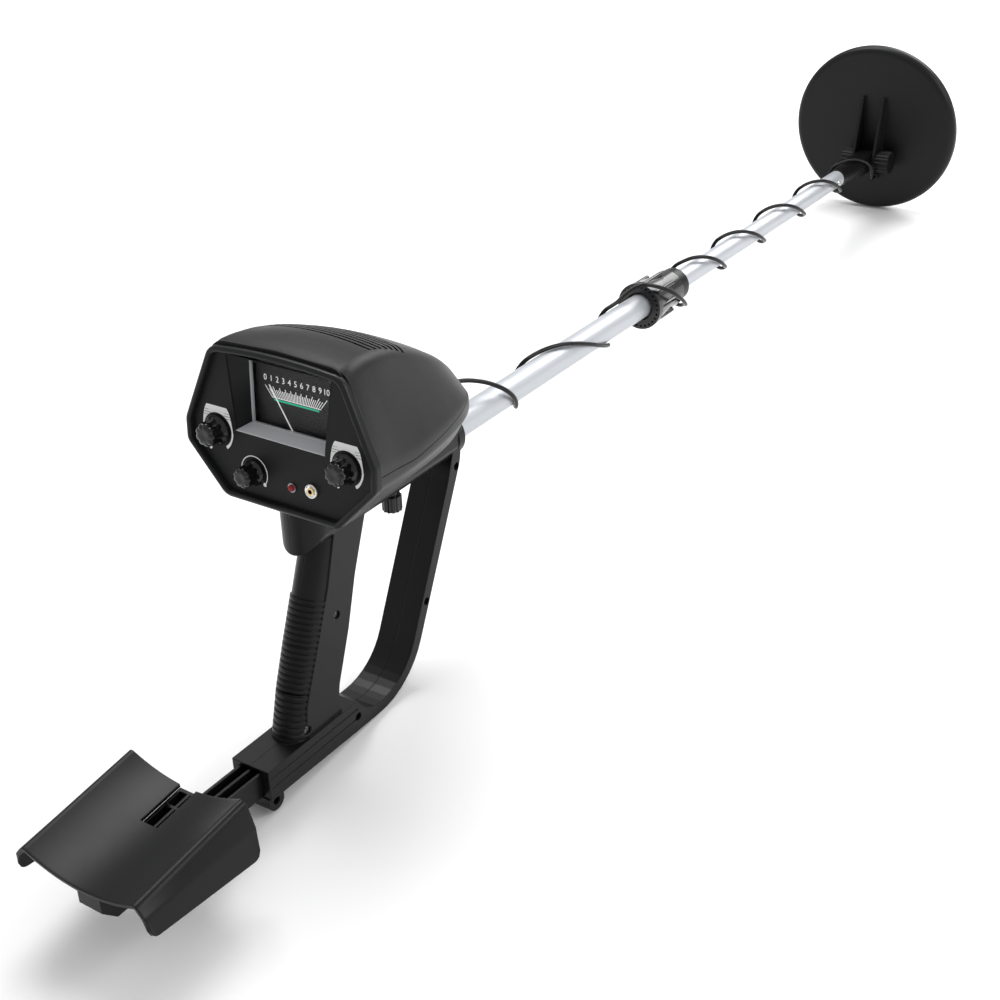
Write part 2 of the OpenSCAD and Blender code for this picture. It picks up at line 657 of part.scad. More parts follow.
module handle_cuts() {
    along(upper_tube_d / 2, 60, arm_front + 10);
    block(-bar_r_u, bar_r_u, channel_back - over, 40, -191.4, -169.6);
    for (s = [-1, 1], v = [-174.5, -183])
        block(min(s * half_w, s * (half_w - 0.8)), max(s * half_w, s * (half_w - 0.8)) + (s > 0 ? over : 0),
              channel_back + 2, 45, v - 0.6, v + 0.6);
    translate([0, lug_u, lug_v]) across(lug_hole_r, -30, 30);
    translate([0, clamp_u, -25]) cylinder(r = shaft_r + run_fit, h = 25);
    slab([[30, -42], [52, -42], [40, -96], [22, -145], [-6, -145], [8, -100], [22, -66]], -12, 12);
    slab([[128, -150], [133, -150], [177, -60], [171, -60]], -14, 14);
}
module frame_left() {
    color("#1a1b1d") posed() difference() {
        intersection() { handle_solid(); block(-60, 0, -100, 260, -260, 60); }
        handle_cuts();
        for (p = frame_recesses) translate([0, p[0], p[1]]) across(screw_r, -9, over);
    }
}
module frame_right() {
    color("#1a1b1d") posed() difference() {
        intersection() { handle_solid(); block(0, 60, -100, 260, -260, 60); }
        handle_cuts();
        for (p = frame_recesses) translate([0, p[0], p[1]]) {
            across(screw_r, -over, 30);
            across(3.5, recess_x - 3, 40);
        }
    }
}
module frame_screws() {
    color("#3b3d40") posed() for (p = frame_recesses) translate([0, p[0], p[1]]) {
        across(screw_r, -8.5, recess_x - 3);
        difference() {
            across(3, recess_x - 3, recess_x - 1.2);
            translate([recess_x - 2, -0.4, -2]) cube([2, 0.8, 4]);
        }
    }
}
// Thumb knob under the arm, its stud pressing on the tube
module clamp_stud() {
    color("silver") posed() translate([0, clamp_u, -34]) cylinder(r = shaft_r, h = 34 - upper_tube_d / 2 - gap);
}
module clamp_knob() {
    color("#17181a") posed() translate([0, clamp_u, -37]) difference() {
        union() {
            cylinder(r = 8.2, h = 13);
            translate([0, 0, 13]) cylinder(r = 5, h = 4 - gap);
        }
        translate([0, 0, 3]) cylinder(r = shaft_r, h = 20);
        for (i = [0:11]) rotate(i * 30) translate([8.9, 0, -over]) cylinder(r = 1.6, h = 30);
    }
}

// ---- Armrest ----
// Saddle section at a share k of the way back: top edges, crown of the trough, band, foot, and the same one thickness in
edge_x = saddle_w / 2;
function trough(k, xe, ve, vc, n) =
    let(h = ve - vc, r = (xe * xe + h * h) / (2 * h), a = asin(xe / r))
    [for (i = [0:n]) let(b = a - 2 * a * i / n) [r * sin(b), vc + r - r * cos(b)]];
function saddle_section(k) =
    let(xe = edge_x - k, ve = -135 - 14 * k, vc = -148 - 12 * k, vb = -154 - 2 * k, vf = -180 + 9 * k, t = saddle_t)
    concat([[edge_x + 8, vf], [edge_x + 6, vb]], trough(k, xe, ve, vc, 10), [[-edge_x - 6, vb], [-edge_x - 8, vf]],
           [[-edge_x - 8 + t * 0.9, vf], [-edge_x - 6 + t, vb - 1]],
           [for (p = trough(k, xe - t * 0.8, ve - t, vc - t, 10)) [-p[0], p[1]]],
           [[edge_x + 6 - t, vb - 1], [edge_x + 8 - t * 0.9, vf]]);
function saddle_ring(k) = [for (p = saddle_section(k)) [p[0], saddle_front - saddle_len * k, p[1]]];
module armrest_saddle() {
    color("#1c1d1f") posed() difference() {
        loft([for (k = [1, 0.75, 0.5, 0.25, 0]) saddle_ring(k)], strip = true);
        block(-8, 8, saddle_front - 40, saddle_front + over, -170, -130);
    }
}
bar_half = 11;
bar_front = -5;
bar_top = -170;
bar_low = -191;
function under_saddle(u) = -148 - 12 * (saddle_front - u) / saddle_len - saddle_t - 0.1;
module armrest_bar() {
    back = saddle_back + 6;
    neck = saddle_front + 2;
    color("#1a1b1d") posed() difference() {
        slab([[bar_front, bar_top], [neck, bar_top], [neck, under_saddle(neck)], [back, under_saddle(back)],
              [back, bar_low + 12], [back + 12, bar_low], [bar_front, bar_low]], -bar_half, bar_half);
        for (s = [-1, 1]) {
            x0 = s > 0 ? 1.2 : -8.6;
            block(x0, x0 + 7.4, neck + 3, bar_front - 8, bar_top - 14, bar_top + over);
            block(x0, x0 + 7.4, neck - 16, neck - 3, bar_top - 8, -140);
            block(x0, x0 + 7.4, neck - 39, neck - 18.5, bar_top - 8, -140);
        }
        for (u = [back + 14, back + 40]) translate([0, u, bar_low - over]) cylinder(r = screw_r, h = 27);
        for (u = [back + 14, back + 40]) translate([0, u, bar_low - over]) cylinder(r = 3.2, h = 4);
    }
}
module armrest_screws() {
    color("#9a9da1") posed() for (u = [saddle_back + 20, saddle_back + 46]) translate([0, u, bar_low + 1]) {
        cylinder(r = 3, h = 2);
        cylinder(r = screw_r, h = 24);
    }
}

// ---- Search coil ----
// Half section of a shell: flat face, rounded rim, split line, and the same one thickness in
function rim_arc(r, a0, a1) = [for (i = [0:6]) [coil_r - rim_r + r * cos(a0 + (a1 - a0) * i / 6), r * sin(a0 + (a1 - a0) * i / 6)]];
module disc_shell(h) {
    c = h - rim_r;
    translate([0, coil_up, 0]) rotate_extrude($fn = 96) polygon(concat(
        [[0, h]], [for (p = rim_arc(rim_r, 90, 0)) [p[0], p[1] + c]], [[coil_r, 0], [coil_r - shell_t, 0]],
        [for (p = rim_arc(rim_r - shell_t, 0, 90)) [p[0], p[1] + c]], [[0, h - shell_t]]));
}
ear = rounded([[76, coil_top - 0.5, 0], [76, coil_top + 5, 2], [8, 12, 0], [-4, 11, 0], [-11, 5, 0], [-14, coil_top - 0.5, 0]]);
module coil_top_shell() {
    color("#1b1c1e") on_coil() difference() {
        union() {
            translate([0, 0, coil_split]) disc_shell(coil_t / 2);
            for (s = [-1, 1]) {
                slab([for (i = [0:len(ear) - 1]) ear[len(ear) - 1 - i]], s > 0 ? ear_in : -ear_out, s > 0 ? ear_out : -ear_in);
                across(12, s > 0 ? ear_in : -ear_out, s > 0 ? ear_out : -ear_in);
            }
        }
        across(hinge_r, -20, 20);
        translate([7, -27, coil_top - 6]) cylinder(r = 3.2, h = 10);
    }
}
module coil_bottom_shell() {
    color("#161719") on_coil() translate([0, 0, coil_split]) mirror([0, 0, 1]) disc_shell(coil_t / 2);
}
module winding(r, w) {
    on_coil() translate([0, coil_up, coil_split - 3.5]) rotate_extrude() translate([r - w / 2, 0]) square([w, 7]);
}
module tx_winding() { color("#b8733a") winding(90, 6); }
module rx_winding() { color("#b8733a") winding(48, 6); }
gland_top = coil_top + 5.6;
module coil_gland() {
    color("#0f1011") on_coil() translate([7, -27, coil_top - shell_t]) {
        cylinder(r = 3.2, h = shell_t);
        translate([0, 0, shell_t]) cylinder(r = 4.6, h = 5.6);
    }
}
bolt_head_x = 30;
module ribbed_drum(r, h, ribs) {
    difference() {
        cylinder(r = r, h = h);
        for (i = [0:ribs - 1]) rotate(i * 360 / ribs) translate([r + 0.7, 0, -over]) cylinder(r = 1.8, h = h + 2 * over);
    }
}
module hinge_bolt() {
    color("#17181a") on_coil() {
        across(hinge_r, -ear_out, 29);
        translate([-bolt_head_x, 0, 0]) rotate([0, 90, 0]) ribbed_drum(12, bolt_head_x - ear_out, 16);
    }
}
module hinge_washers() {
    color("#0c0c0d") on_coil() for (x = [-ear_in + 0.05, yoke_half + 0.05])
        translate([x, 0, 0]) rotate([0, 90, 0]) ring(9, hinge_r, ear_in - yoke_half - 0.1);
}
module hinge_nut() {
    color("#17181a") on_coil() translate([ear_out + gap, 0, 0]) rotate([0, 90, 0]) difference() {
        ribbed_drum(14, 17.7, 18);
        translate([0, 0, -over]) cylinder(r = hinge_r + run_fit, h = 15.5 + over);
    }
}
// The tail of the lead, from the pole to the coil's gland, clear of the ear
gland_mouth_u = hinge_u + 27 * sin(coil_lean) - gland_top * cos(coil_lean);
gland_mouth_v = -27 * cos(coil_lean) - gland_top * sin(coil_lean);
tail_end = [7, gland_mouth_u, gland_mouth_v];
tail_route = [wound(lead_last + lead_gap), [15.6, 1122, -8], [14, 1129, -16.5], [10.6, 1137, -22.5], [8, 1146, -25.2], tail_end];
module cable_tail() { color("#0f1011") posed() lead(tail_route); }

frame_left();
frame_right();
frame_screws();
box_upper_shell();
box_lower_shell();
box_bezel();
control_panel();
box_screws();
meter_body();
meter_window();
meter_dial();
potentiometers();
pot_nuts();
headphone_jack();
jack_nut();
led_lamp();
led_holder();
circuit_board();
board_screws();
speaker();
batteries();
battery_clips();
cable_gland();
upper_tube();
tube_ferrule();
clamp_nut();
cable_upper();
disc_knob();
disc_shaft();
sens_knob();
sens_shaft();
volume_knob();
volume_shaft();
meter_needle();
meter_coil();
battery_door_left();
battery_door_right();
clamp_knob();
clamp_stud();
armrest_saddle();
armrest_bar();
armrest_screws();
lock_collar();
lower_tube();
tube_bush();
yoke();
yoke_rivet();
cable_lower();
coil_top_shell();
coil_bottom_shell();
tx_winding();
rx_winding();
coil_gland();
hinge_bolt();
hinge_washers();
cable_tail();
hinge_nut();
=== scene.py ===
# %% [markdown]
# # A metal detector
# The object is a dial box on a D-shaped handle, with an armrest behind it, a two-part pole in front and a round
# search coil at the far end. The solid frame is already built to size, so this lesson gives it its looks: smooth
# moulded shells, printed marks, a wound lead, plastics, metals, light and a camera.
# Everything is in metres, in the frame's own place, so a new piece is made where it belongs.

# %% Load the frame
import json
import math
from collections import namedtuple
import bpy
from mathutils import Matrix, Vector


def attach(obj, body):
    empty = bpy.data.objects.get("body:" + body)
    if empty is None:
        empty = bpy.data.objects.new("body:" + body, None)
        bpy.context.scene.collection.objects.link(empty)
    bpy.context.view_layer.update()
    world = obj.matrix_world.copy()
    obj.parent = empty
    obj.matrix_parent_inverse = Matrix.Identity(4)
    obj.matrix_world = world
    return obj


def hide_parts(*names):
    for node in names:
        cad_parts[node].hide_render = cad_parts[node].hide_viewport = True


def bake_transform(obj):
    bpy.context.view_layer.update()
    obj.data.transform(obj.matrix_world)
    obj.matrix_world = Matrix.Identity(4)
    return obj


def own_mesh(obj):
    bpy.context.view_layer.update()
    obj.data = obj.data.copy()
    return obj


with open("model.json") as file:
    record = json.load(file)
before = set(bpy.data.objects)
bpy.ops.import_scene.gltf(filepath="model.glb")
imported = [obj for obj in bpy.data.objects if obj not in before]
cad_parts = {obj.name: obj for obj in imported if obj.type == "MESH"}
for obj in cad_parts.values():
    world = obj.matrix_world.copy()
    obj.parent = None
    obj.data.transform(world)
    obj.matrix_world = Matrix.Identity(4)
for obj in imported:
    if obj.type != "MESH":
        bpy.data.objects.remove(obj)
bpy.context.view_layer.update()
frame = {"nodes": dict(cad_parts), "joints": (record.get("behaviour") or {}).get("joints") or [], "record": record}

# %% [markdown]
# The pole slopes down to the ground, so nearly every piece is easiest to place from the pole. Three small functions
# turn millimetres in the pole's, the panel's and the coil's own directions into a place in the scene. Their axes come
# from the frame's joints: the pole slides along its own axis, a knob turns about the panel's normal, and the coil
# tilts about its hinge.

# %% Directions and places
JOINTS = {joint["name"]: joint for joint in frame["joints"]}
MOUNTS = {mount["name"]: mount for mount in frame["record"]["mounts"]}
SIDE = Vector((1, 0, 0))
POLE = Vector(JOINTS["pole_extend"]["axis"])
RISE = SIDE.cross(POLE)
COLLAR_AT = 565
ORIGIN = Vector(JOINTS["collar_twist"]["pos_m"]) - POLE * COLLAR_AT / 1000
FACE = -Vector(JOINTS["disc_turn"]["axis"])
FACE_UP = FACE.cross(SIDE)
HINGE = Vector(JOINTS["coil_tilt"]["pos_m"])
COIL_OUT = -Vector(MOUNTS["coil_underside"]["axis"])
COIL_UP = COIL_OUT.cross(SIDE)
HINGE_U = (HINGE - ORIGIN).dot(POLE) * 1000


def on_pole(x, u, v):
    return ORIGIN + (SIDE * x + POLE * u + RISE * v) / 1000


def on_panel(x, y, z=0):
    return ORIGIN + (SIDE * x + FACE_UP * y + FACE * z) / 1000


def on_coil(x, t, n):
    return HINGE + (SIDE * x + COIL_UP * t + COIL_OUT * n) / 1000


print("hinge", round(HINGE_U), "mm along the pole, panel leans", round(math.degrees(math.asin(FACE.dot(RISE))), 1))

# %% [markdown]
# The camera comes early, because it decides what has to be good. It looks down over the user's right shoulder with a
# 54 mm lens, and it is tilted a little, so that the pole runs steeply up the view to the coil.

# %% Camera
CAMERA_AT = on_pole(669.8, -699.1, 532.9)
VIEW = (SIDE * -0.4975 + POLE * 0.7292 + RISE * -0.4698).normalized()
VIEW_UP = (SIDE * -0.2375 + POLE * 0.4063 + RISE * 0.8823).normalized()


def make_camera():
    data = bpy.data.cameras.new("camera")
    camera = bpy.data.objects.new("camera", data)
    bpy.context.scene.collection.objects.link(camera)
    right = VIEW.cross(VIEW_UP).normalized()
    up = right.cross(VIEW)
    turn = Matrix((right, up, -VIEW)).transposed()
    camera.matrix_world = Matrix.Translation(CAMERA_AT) @ turn.to_4x4()
    data.lens = 54
    data.sensor_width = 36
    bpy.context.scene.camera = camera
    return camera


camera = make_camera()
print("camera at", [round(c, 2) for c in camera.location])

# %% [markdown]
# ## Finishes
# Every finish is built from nodes. Sums on values are written as plain arithmetic: a small class wraps a socket and
# each operator adds one Math node. Any other node comes from one method, which sets the node up and then fills its
# sockets with numbers or links.

# %% A socket that does arithmetic
class Value:
    def __init__(self, recipe, socket):
        self.recipe = recipe
        self.socket = socket

    def maths(self, operation, other=0.0, flip=False):
        pair = (other, self) if flip else (self, other)
        return self.recipe.add("ShaderNodeMath", {"operation": operation}, {0: pair[0], 1: pair[1]})

    def __add__(self, other):
        return self.maths("ADD", other)

    def __sub__(self, other):
        return self.maths("SUBTRACT", other)

    def __rsub__(self, other):
        return self.maths("SUBTRACT", other, flip=True)

    def __mul__(self, other):
        return self.maths("MULTIPLY", other)

    def __lt__(self, other):
        return self.maths("LESS_THAN", other)

    def __abs__(self):
        return self.maths("ABSOLUTE")

    __radd__ = __add__
    __rmul__ = __mul__


class Recipe:
    def __init__(self, name):
        self.material = bpy.data.materials.new(name)
        self.material.use_nodes = True
        self.tree = self.material.node_tree
        self.tree.nodes.clear()
        self.shader = self.tree.nodes.new("ShaderNodeBsdfPrincipled")
        output = self.tree.nodes.new("ShaderNodeOutputMaterial")
        self.tree.links.new(self.shader.outputs[0], output.inputs[0])

    def fill(self, node, sockets):
        for key, given in sockets.items():
            if isinstance(given, Value):
                self.tree.links.new(given.socket, node.inputs[key])
            else:
                node.inputs[key].default_value = given

    def add(self, kind, settings=None, sockets=None, output=0):
        node = self.tree.nodes.new(kind)
        for key, given in (settings or {}).items():
            setattr(node, key, given)
        self.fill(node, sockets or {})
        return Value(self, node.outputs[output])

    def place(self):
        return self.add("ShaderNodeTexCoord", output="Object")

    def noise(self, scale, detail=2.0, rough=0.5):
        sockets = {"Vector": self.place(), "Scale": scale, "Detail": detail, "Roughness": rough}
        return self.add("ShaderNodeTexNoise", {}, sockets)

    def mix(self, share, low, high):
        node = self.tree.nodes.new("ShaderNodeMix")
        node.data_type = "RGBA"
        self.fill(node, {0: share, 6: low, 7: high})
        return Value(self, node.outputs[2])

    def set(self, **sockets):
        self.fill(self.shader, {name.replace("_", " "): given for name, given in sockets.items()})


def grey(level, blue=0.0):
    return (level, level * (1 + blue / 2), level * (1 + blue), 1.0)


print("node helpers ready")

# %% [markdown]
# ### Moulded black plastic
# The box is moulded in a fine-grained black, the handle and the coil in a smoother satin black. Both are one recipe:
# a grain that only bumps the surface, a slow variation of the gloss as handled plastic has, and corners that catch
# the light. The Bevel node rounds the shading of sharp mould edges, which costs no faces.

# %% Plastics
def plastic(name, level, rough, grain=0.0, grain_size=2200, edge=0.0008, coat=0.0, seam=False):
    recipe = Recipe(name)
    patches = recipe.noise(14, 3.0)
    fine = recipe.noise(grain_size, 2.0, 0.6)
    colour = recipe.mix(patches, grey(level * 0.86, 0.05), grey(level * 1.14, 0.09))
    rounded = recipe.add("ShaderNodeBevel", {"samples": 4}, {"Radius": edge})
    height = fine * grain
    if seam:
        across = recipe.add("ShaderNodeSeparateXYZ", {}, {"Vector": recipe.place()})
        line = abs(across) < 0.00045
        colour = recipe.mix(line, colour, grey(level * 0.15))
        height = height - line
    bumped = {"Strength": 0.35, "Distance": 0.00035, "Height": height, "Normal": rounded}
    bump = recipe.add("ShaderNodeBump", {}, bumped)
    recipe.set(Base_Color=colour, Roughness=patches * 0.16 + (rough - 0.08), Normal=bump, Coat_Weight=coat)
    recipe.shader.inputs["Coat Roughness"].default_value = 0.25
    recipe.shader.inputs["Specular IOR Level"].default_value = 0.20
    return recipe.material


CASE = plastic("grained_black", 0.005, 0.40, grain=1.2, grain_size=1500)
FRAME = plastic("satin_black", 0.004, 0.36, grain=0.35, edge=0.0012)
HANDLE = plastic("satin_black_seamed", 0.005, 0.32, grain=0.3, edge=0.0014, seam=True)
RIM = plastic("rim_black", 0.012, 0.32, grain=0.2)
PANEL = plastic("panel_black", 0.006, 0.5, grain=0.6, grain_size=3200)
DISC_BLACK = plastic("coil_black", 0.006, 0.42, grain=0.35, grain_size=1500)
KNOB = plastic("knob_black", 0.004, 0.16, grain=0.05, edge=0.0005, coat=0.5)
DARK = plastic("inside_black", 0.004, 0.6, grain=0.2)
print("plastics", [m.name for m in (CASE, FRAME, HANDLE, RIM, PANEL, DISC_BLACK, KNOB, DARK)])

# %% [markdown]
# ### Metal, rubber, clear plastic and print
# The tubes are anodised aluminium: pale, satin, with fine lines drawn along them. The lead's jacket is glossy rubber.
# The window is clear plastic, and the marks are a flat white ink that is a little uneven. The dial's white and green
# print and the needle also get a faint glow of their own, which is painted light.

# %% Metals
def metal(name, colour, rough, streak=0.0, metallic=1.0):
    recipe = Recipe(name)
    stretch = recipe.add("ShaderNodeMapping", {}, {"Vector": recipe.place(), "Scale": (900, 12, 900)})
    lines = recipe.add("ShaderNodeTexNoise", {}, {"Vector": stretch, "Scale": 1.0, "Detail": 2.0})
    patches = recipe.noise(30)
    low = tuple(c * 0.93 for c in colour[:3]) + (1,)
    recipe.set(Base_Color=recipe.mix(patches, low, colour), Metallic=metallic)
    recipe.set(Roughness=lines * streak + patches * 0.06 + rough)
    bump = recipe.add("ShaderNodeBump", {}, {"Strength": 0.12, "Distance": 0.0001, "Height": lines})
    recipe.set(Normal=bump)
    return recipe.material


TUBE = metal("anodised_tube", (0.50, 0.52, 0.55, 1), 0.34, streak=0.12, metallic=0.55)
CHROME = metal("bright_plate", (0.86, 0.85, 0.83, 1), 0.08, streak=0.04)
ZINC = metal("dark_zinc", (0.30, 0.30, 0.31, 1), 0.35)
COPPER = metal("copper_wire", (0.70, 0.38, 0.20, 1), 0.3, streak=0.2)
BRASS = metal("contact_brass", (0.75, 0.58, 0.32, 1), 0.25)
print("metals ready")


# %% Rubber, print, clear and coloured plastics
def rubber(name, level, rough):
    recipe = Recipe(name)
    scuffs = recipe.noise(260, 3.0)
    recipe.set(Base_Color=recipe.mix(scuffs, grey(level * 0.8), grey(level * 1.3)), Roughness=scuffs * 0.15 + rough)
    recipe.set(Normal=recipe.add("ShaderNodeBump", {}, {"Strength": 0.1, "Distance": 0.0002, "Height": scuffs}))
    recipe.shader.inputs["Specular IOR Level"].default_value = 0.22
    return recipe.material


def ink(name, colour, glow=0.0):
    recipe = Recipe(name)
    worn = recipe.noise(900, 2.0)
    low = tuple(c * 0.9 for c in colour[:3]) + (1,)
    recipe.set(Base_Color=recipe.mix(worn, low, colour), Roughness=worn * 0.1 + 0.45)
    if glow:
        recipe.set(Emission_Color=colour)
        recipe.shader.inputs["Emission Strength"].default_value = glow
    return recipe.material


def clear(name, tint, alpha):
    recipe = Recipe(name)
    dust = recipe.noise(400, 3.0)
    recipe.set(Base_Color=tint, Roughness=dust * 0.04 + 0.02, Alpha=alpha)
    recipe.shader.inputs["Specular IOR Level"].default_value = 0.8
    return recipe.material


LEAD = rubber("lead_jacket", 0.004, 0.22)
SOFT = rubber("soft_rubber", 0.012, 0.5)
WHITE = ink("white_ink", (0.86, 0.87, 0.86, 1))
# Painted glow: the dial's white and green print and the needle give off a little light, though they are no lamp.
DIAL_WHITE_PAINTED_GLOW = ink("dial_white_painted_glow", (0.95, 0.95, 0.95, 1), glow=0.35)
GREEN_PAINTED_GLOW = ink("green_ink_painted_glow", (0.02, 0.60, 0.33, 1), glow=0.25)
CARD = ink("dial_card", (0.006, 0.006, 0.007, 1))
RED = ink("lamp_red", (0.28, 0.004, 0.008, 1), glow=0.05)
NYLON = ink("nylon", (0.82, 0.82, 0.78, 1))
BOARD = ink("board_green", (0.03, 0.22, 0.09, 1))
GOLD = ink("battery_case", (0.5, 0.36, 0.12, 1))
# Painted reflection: light grey colour for the glossy black ledge at the bottom of the meter recess.
LEDGE_PAINTED_REFLECTION = ink("ledge_painted_reflection", (0.72, 0.73, 0.76, 1))
PANE = clear("clear_pane", (0.02, 0.02, 0.025, 1), 0.05)
# Painted highlight: a pale, half-clear colour on the pane's edges.
CLEAR_EDGE_PAINTED_HIGHLIGHT = clear("clear_edge_painted_highlight", (0.75, 0.78, 0.80, 1), 0.55)
print("soft and printed finishes ready")

# %% [markdown]
# Pieces of the frame whose shape is already right keep it, and only take a finish. Their meshes already carry smooth
# normals, and the Bevel node in each plastic softens the look of their mould edges.

# %% Dress the frame's own nodes
FINISHES = {
    "frame_left": HANDLE, "frame_right": HANDLE, "frame_screws": ZINC, "box_screws": ZINC, "control_panel": PANEL,
    "meter_body": DARK, "meter_dial": CARD, "potentiometers": ZINC, "pot_nuts": CHROME, "headphone_jack": BRASS,
    "led_lamp": RED, "led_holder": ZINC, "circuit_board": BOARD, "board_screws": CHROME, "speaker": DARK,
    "batteries": GOLD, "battery_clips": DARK, "cable_gland": SOFT, "upper_tube": TUBE, "tube_ferrule": FRAME,
    "clamp_nut": FRAME, "disc_shaft": CHROME, "sens_shaft": CHROME, "volume_shaft": CHROME, "meter_needle": DIAL_WHITE_PAINTED_GLOW,
    "meter_coil": COPPER, "battery_door_left": CASE, "battery_door_right": CASE, "clamp_knob": KNOB,
    "clamp_stud": CHROME, "armrest_bar": FRAME, "armrest_screws": ZINC, "lock_collar": KNOB, "lower_tube": TUBE,
    "tube_bush": NYLON, "yoke": FRAME, "yoke_rivet": CHROME, "coil_top_shell": DISC_BLACK,
    "coil_bottom_shell": DISC_BLACK, "tx_winding": COPPER, "rx_winding": COPPER, "coil_gland": SOFT,
    "hinge_bolt": FRAME, "hinge_washers": SOFT, "hinge_nut": FRAME,
}


def dress(node, finish):
    piece = frame["nodes"][node]
    piece.data.materials.clear()
    piece.data.materials.append(finish)


for node, finish in FINISHES.items():
    dress(node, finish)
print(len(FINISHES), "nodes dressed")

# %% [markdown]
# ## Modelling helpers
# A moulded skin is a sheet bent into shape. It starts as a flat grid from the Add menu, and a rule says where each of
# its points goes. A seam where the sheet meets itself is merged, open ends can be filled, and the normals are made
# to face outwards before a wall is given its thickness.

# %% A grid bent by a rule
def start_clean():
    if bpy.context.object and bpy.context.object.mode != "OBJECT":
        bpy.ops.object.mode_set(mode="OBJECT")
    bpy.ops.object.select_all(action="DESELECT")


def tidy_mesh(piece, fill=False, merge=0.00001):
    bpy.context.view_layer.objects.active = piece
    bpy.ops.object.mode_set(mode="EDIT")
    bpy.ops.mesh.select_all(action="SELECT")
    bpy.ops.mesh.remove_doubles(threshold=merge)
    if fill:
        bpy.ops.mesh.fill_holes(sides=0)
        bpy.ops.mesh.select_all(action="SELECT")
    bpy.ops.mesh.normals_make_consistent(inside=False)
    bpy.ops.object.mode_set(mode="OBJECT")


def bend_grid(name, across, along, rule, fill=False):
    start_clean()
    bpy.ops.mesh.primitive_grid_add(x_subdivisions=across, y_subdivisions=along, size=1)
    piece = bpy.context.object
    piece.name = name
    for vertex in piece.data.vertices:
        vertex.co = rule(vertex.co.x + 0.5, vertex.co.y + 0.5)
    tidy_mesh(piece, fill)
    return piece


def apply_modifier(piece, kind, **settings):
    bpy.context.view_layer.objects.active = piece
    modifier = piece.modifiers.new(kind.lower(), kind)
    for key, value in settings.items():
        setattr(modifier, key, value)
    bpy.ops.object.modifier_apply(modifier=modifier.name)


def finish_piece(piece, body, finish, replaced=(), smooth=35):
    start_clean()
    bpy.context.view_layer.objects.active = piece
    piece.select_set(True)
    bpy.ops.object.transform_apply(location=True, rotation=True, scale=True)
    bpy.ops.object.shade_smooth_by_angle(angle=math.radians(smooth))
    piece.data.materials.clear()
    piece.data.materials.append(finish)
    if body:
        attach(piece, body)
    if replaced:
        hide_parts(*replaced)
    print(piece.name, len(piece.data.vertices), "points")
    return piece


print("helpers ready")

# %% [markdown]
# ## The control box
# The box is one swelling skin from the panel to the nose. Its section is an eight-sided outline with soft corners
# and a crowned roof. The sections are given at a few stations and blended along the box with smooth curves, so the
# light runs over the roof without a break.

# %% Sections of the box
# The station along the pole, the roof's half-width, height and crown, the widest half-width with its upper and lower
# heights, and the floor's half-width and height
Section = namedtuple("Section", "u top top_v crown side high low foot foot_v")
SECTIONS = [
    Section(0, 60.5, 136.5, 2.5, 88.5, 75, 57, 53, 20),
    Section(15, 59, 139.5, 3, 86, 73, 56, 54, 20),
    Section(50, 54.5, 138, 4, 81, 66, 52, 53, 20),
    Section(90, 47, 127, 3, 75.5, 63, 50, 49, 20),
    Section(125, 41, 110, 3, 68, 61, 49, 46, 20),
    Section(155, 34, 92, 3, 58, 58, 47, 41, 20),
    Section(178, 27, 74, 3, 45, 54, 44, 33, 20.5),
    Section(193, 19, 60, 2, 31, 49, 40, 24, 24),
    Section(202, 9, 47, 1, 14, 43, 36, 11, 31),
]
SIDE_HALF = SECTIONS[0].side
LEAN = math.tan(math.asin(FACE.dot(RISE)))


def slope(index, column):
    near = SECTIONS[max(index - 1, 0)]
    far = SECTIONS[min(index + 1, len(SECTIONS) - 1)]
    return (far[column] - near[column]) / (far.u - near.u)


def section_at(u):
    # Each measure runs through its stations on a smooth cubic
    index = max(i for i in range(len(SECTIONS) - 1) if SECTIONS[i].u <= max(u, 0))
    a, b = SECTIONS[index], SECTIONS[index + 1]
    span = b.u - a.u
    t = min((u - a.u) / span, 1)
    h00, h10 = 2 * t**3 - 3 * t**2 + 1, t**3 - 2 * t**2 + t
    h01, h11 = 3 * t**2 - 2 * t**3, t**3 - t**2
    return Section(u, *[h00 * a[c] + h10 * span * slope(index, c) + h01 * b[c] + h11 * span * slope(index + 1, c)
                        for c in range(1, len(a))])


def corners(section):
    # The four corners of the right side with their radii, which shrink as the box narrows
    share = section.side / SIDE_HALF
    right = [(section.foot, section.foot_v, 12), (section.side, section.low, 9),
             (section.side, section.high, 12), (section.top, section.top_v, 14)]
    left = [(-x, v, r) for x, v, r in reversed(right)]
    return [(x, v, max(r * share, 0.8)) for x, v, r in right + left]


print("box", 2 * SIDE_HALF, "mm wide,", SECTIONS[-1].u, "mm deep")

# %% Rounded outlines
def inset_corners(points, inset):
    moved = []
    for i, (x, y, r) in enumerate(points):
        before = Vector((x, y)) - Vector(points[i - 1][:2])
        after = Vector(points[(i + 1) % len(points)][:2]) - Vector((x, y))
        n1 = Vector((-before.y, before.x)).normalized()
        n2 = Vector((-after.y, after.x)).normalized()
        shift = (n1 + n2) * inset / (1 + n1.dot(n2))
        moved.append((x + shift.x, y + shift.y, max(r - inset, 0.5)))
    return moved


def rounded(points, steps=6):
    outline = []
    for i, (x, y, r) in enumerate(points):
        here = Vector((x, y))
        to_a = (Vector(points[i - 1][:2]) - here).normalized()
        to_b = (Vector(points[(i + 1) % len(points)][:2]) - here).normalized()
        half = to_a.angle(to_b) / 2
        centre = here + (to_a + to_b).normalized() * r / math.sin(half)
        start = here + to_a * r / math.tan(half) - centre
        end = here + to_b * r / math.tan(half) - centre
        for k in range(steps + 1):
            outline.append(centre + start.lerp(end, k / steps).normalized() * r)
    return outline


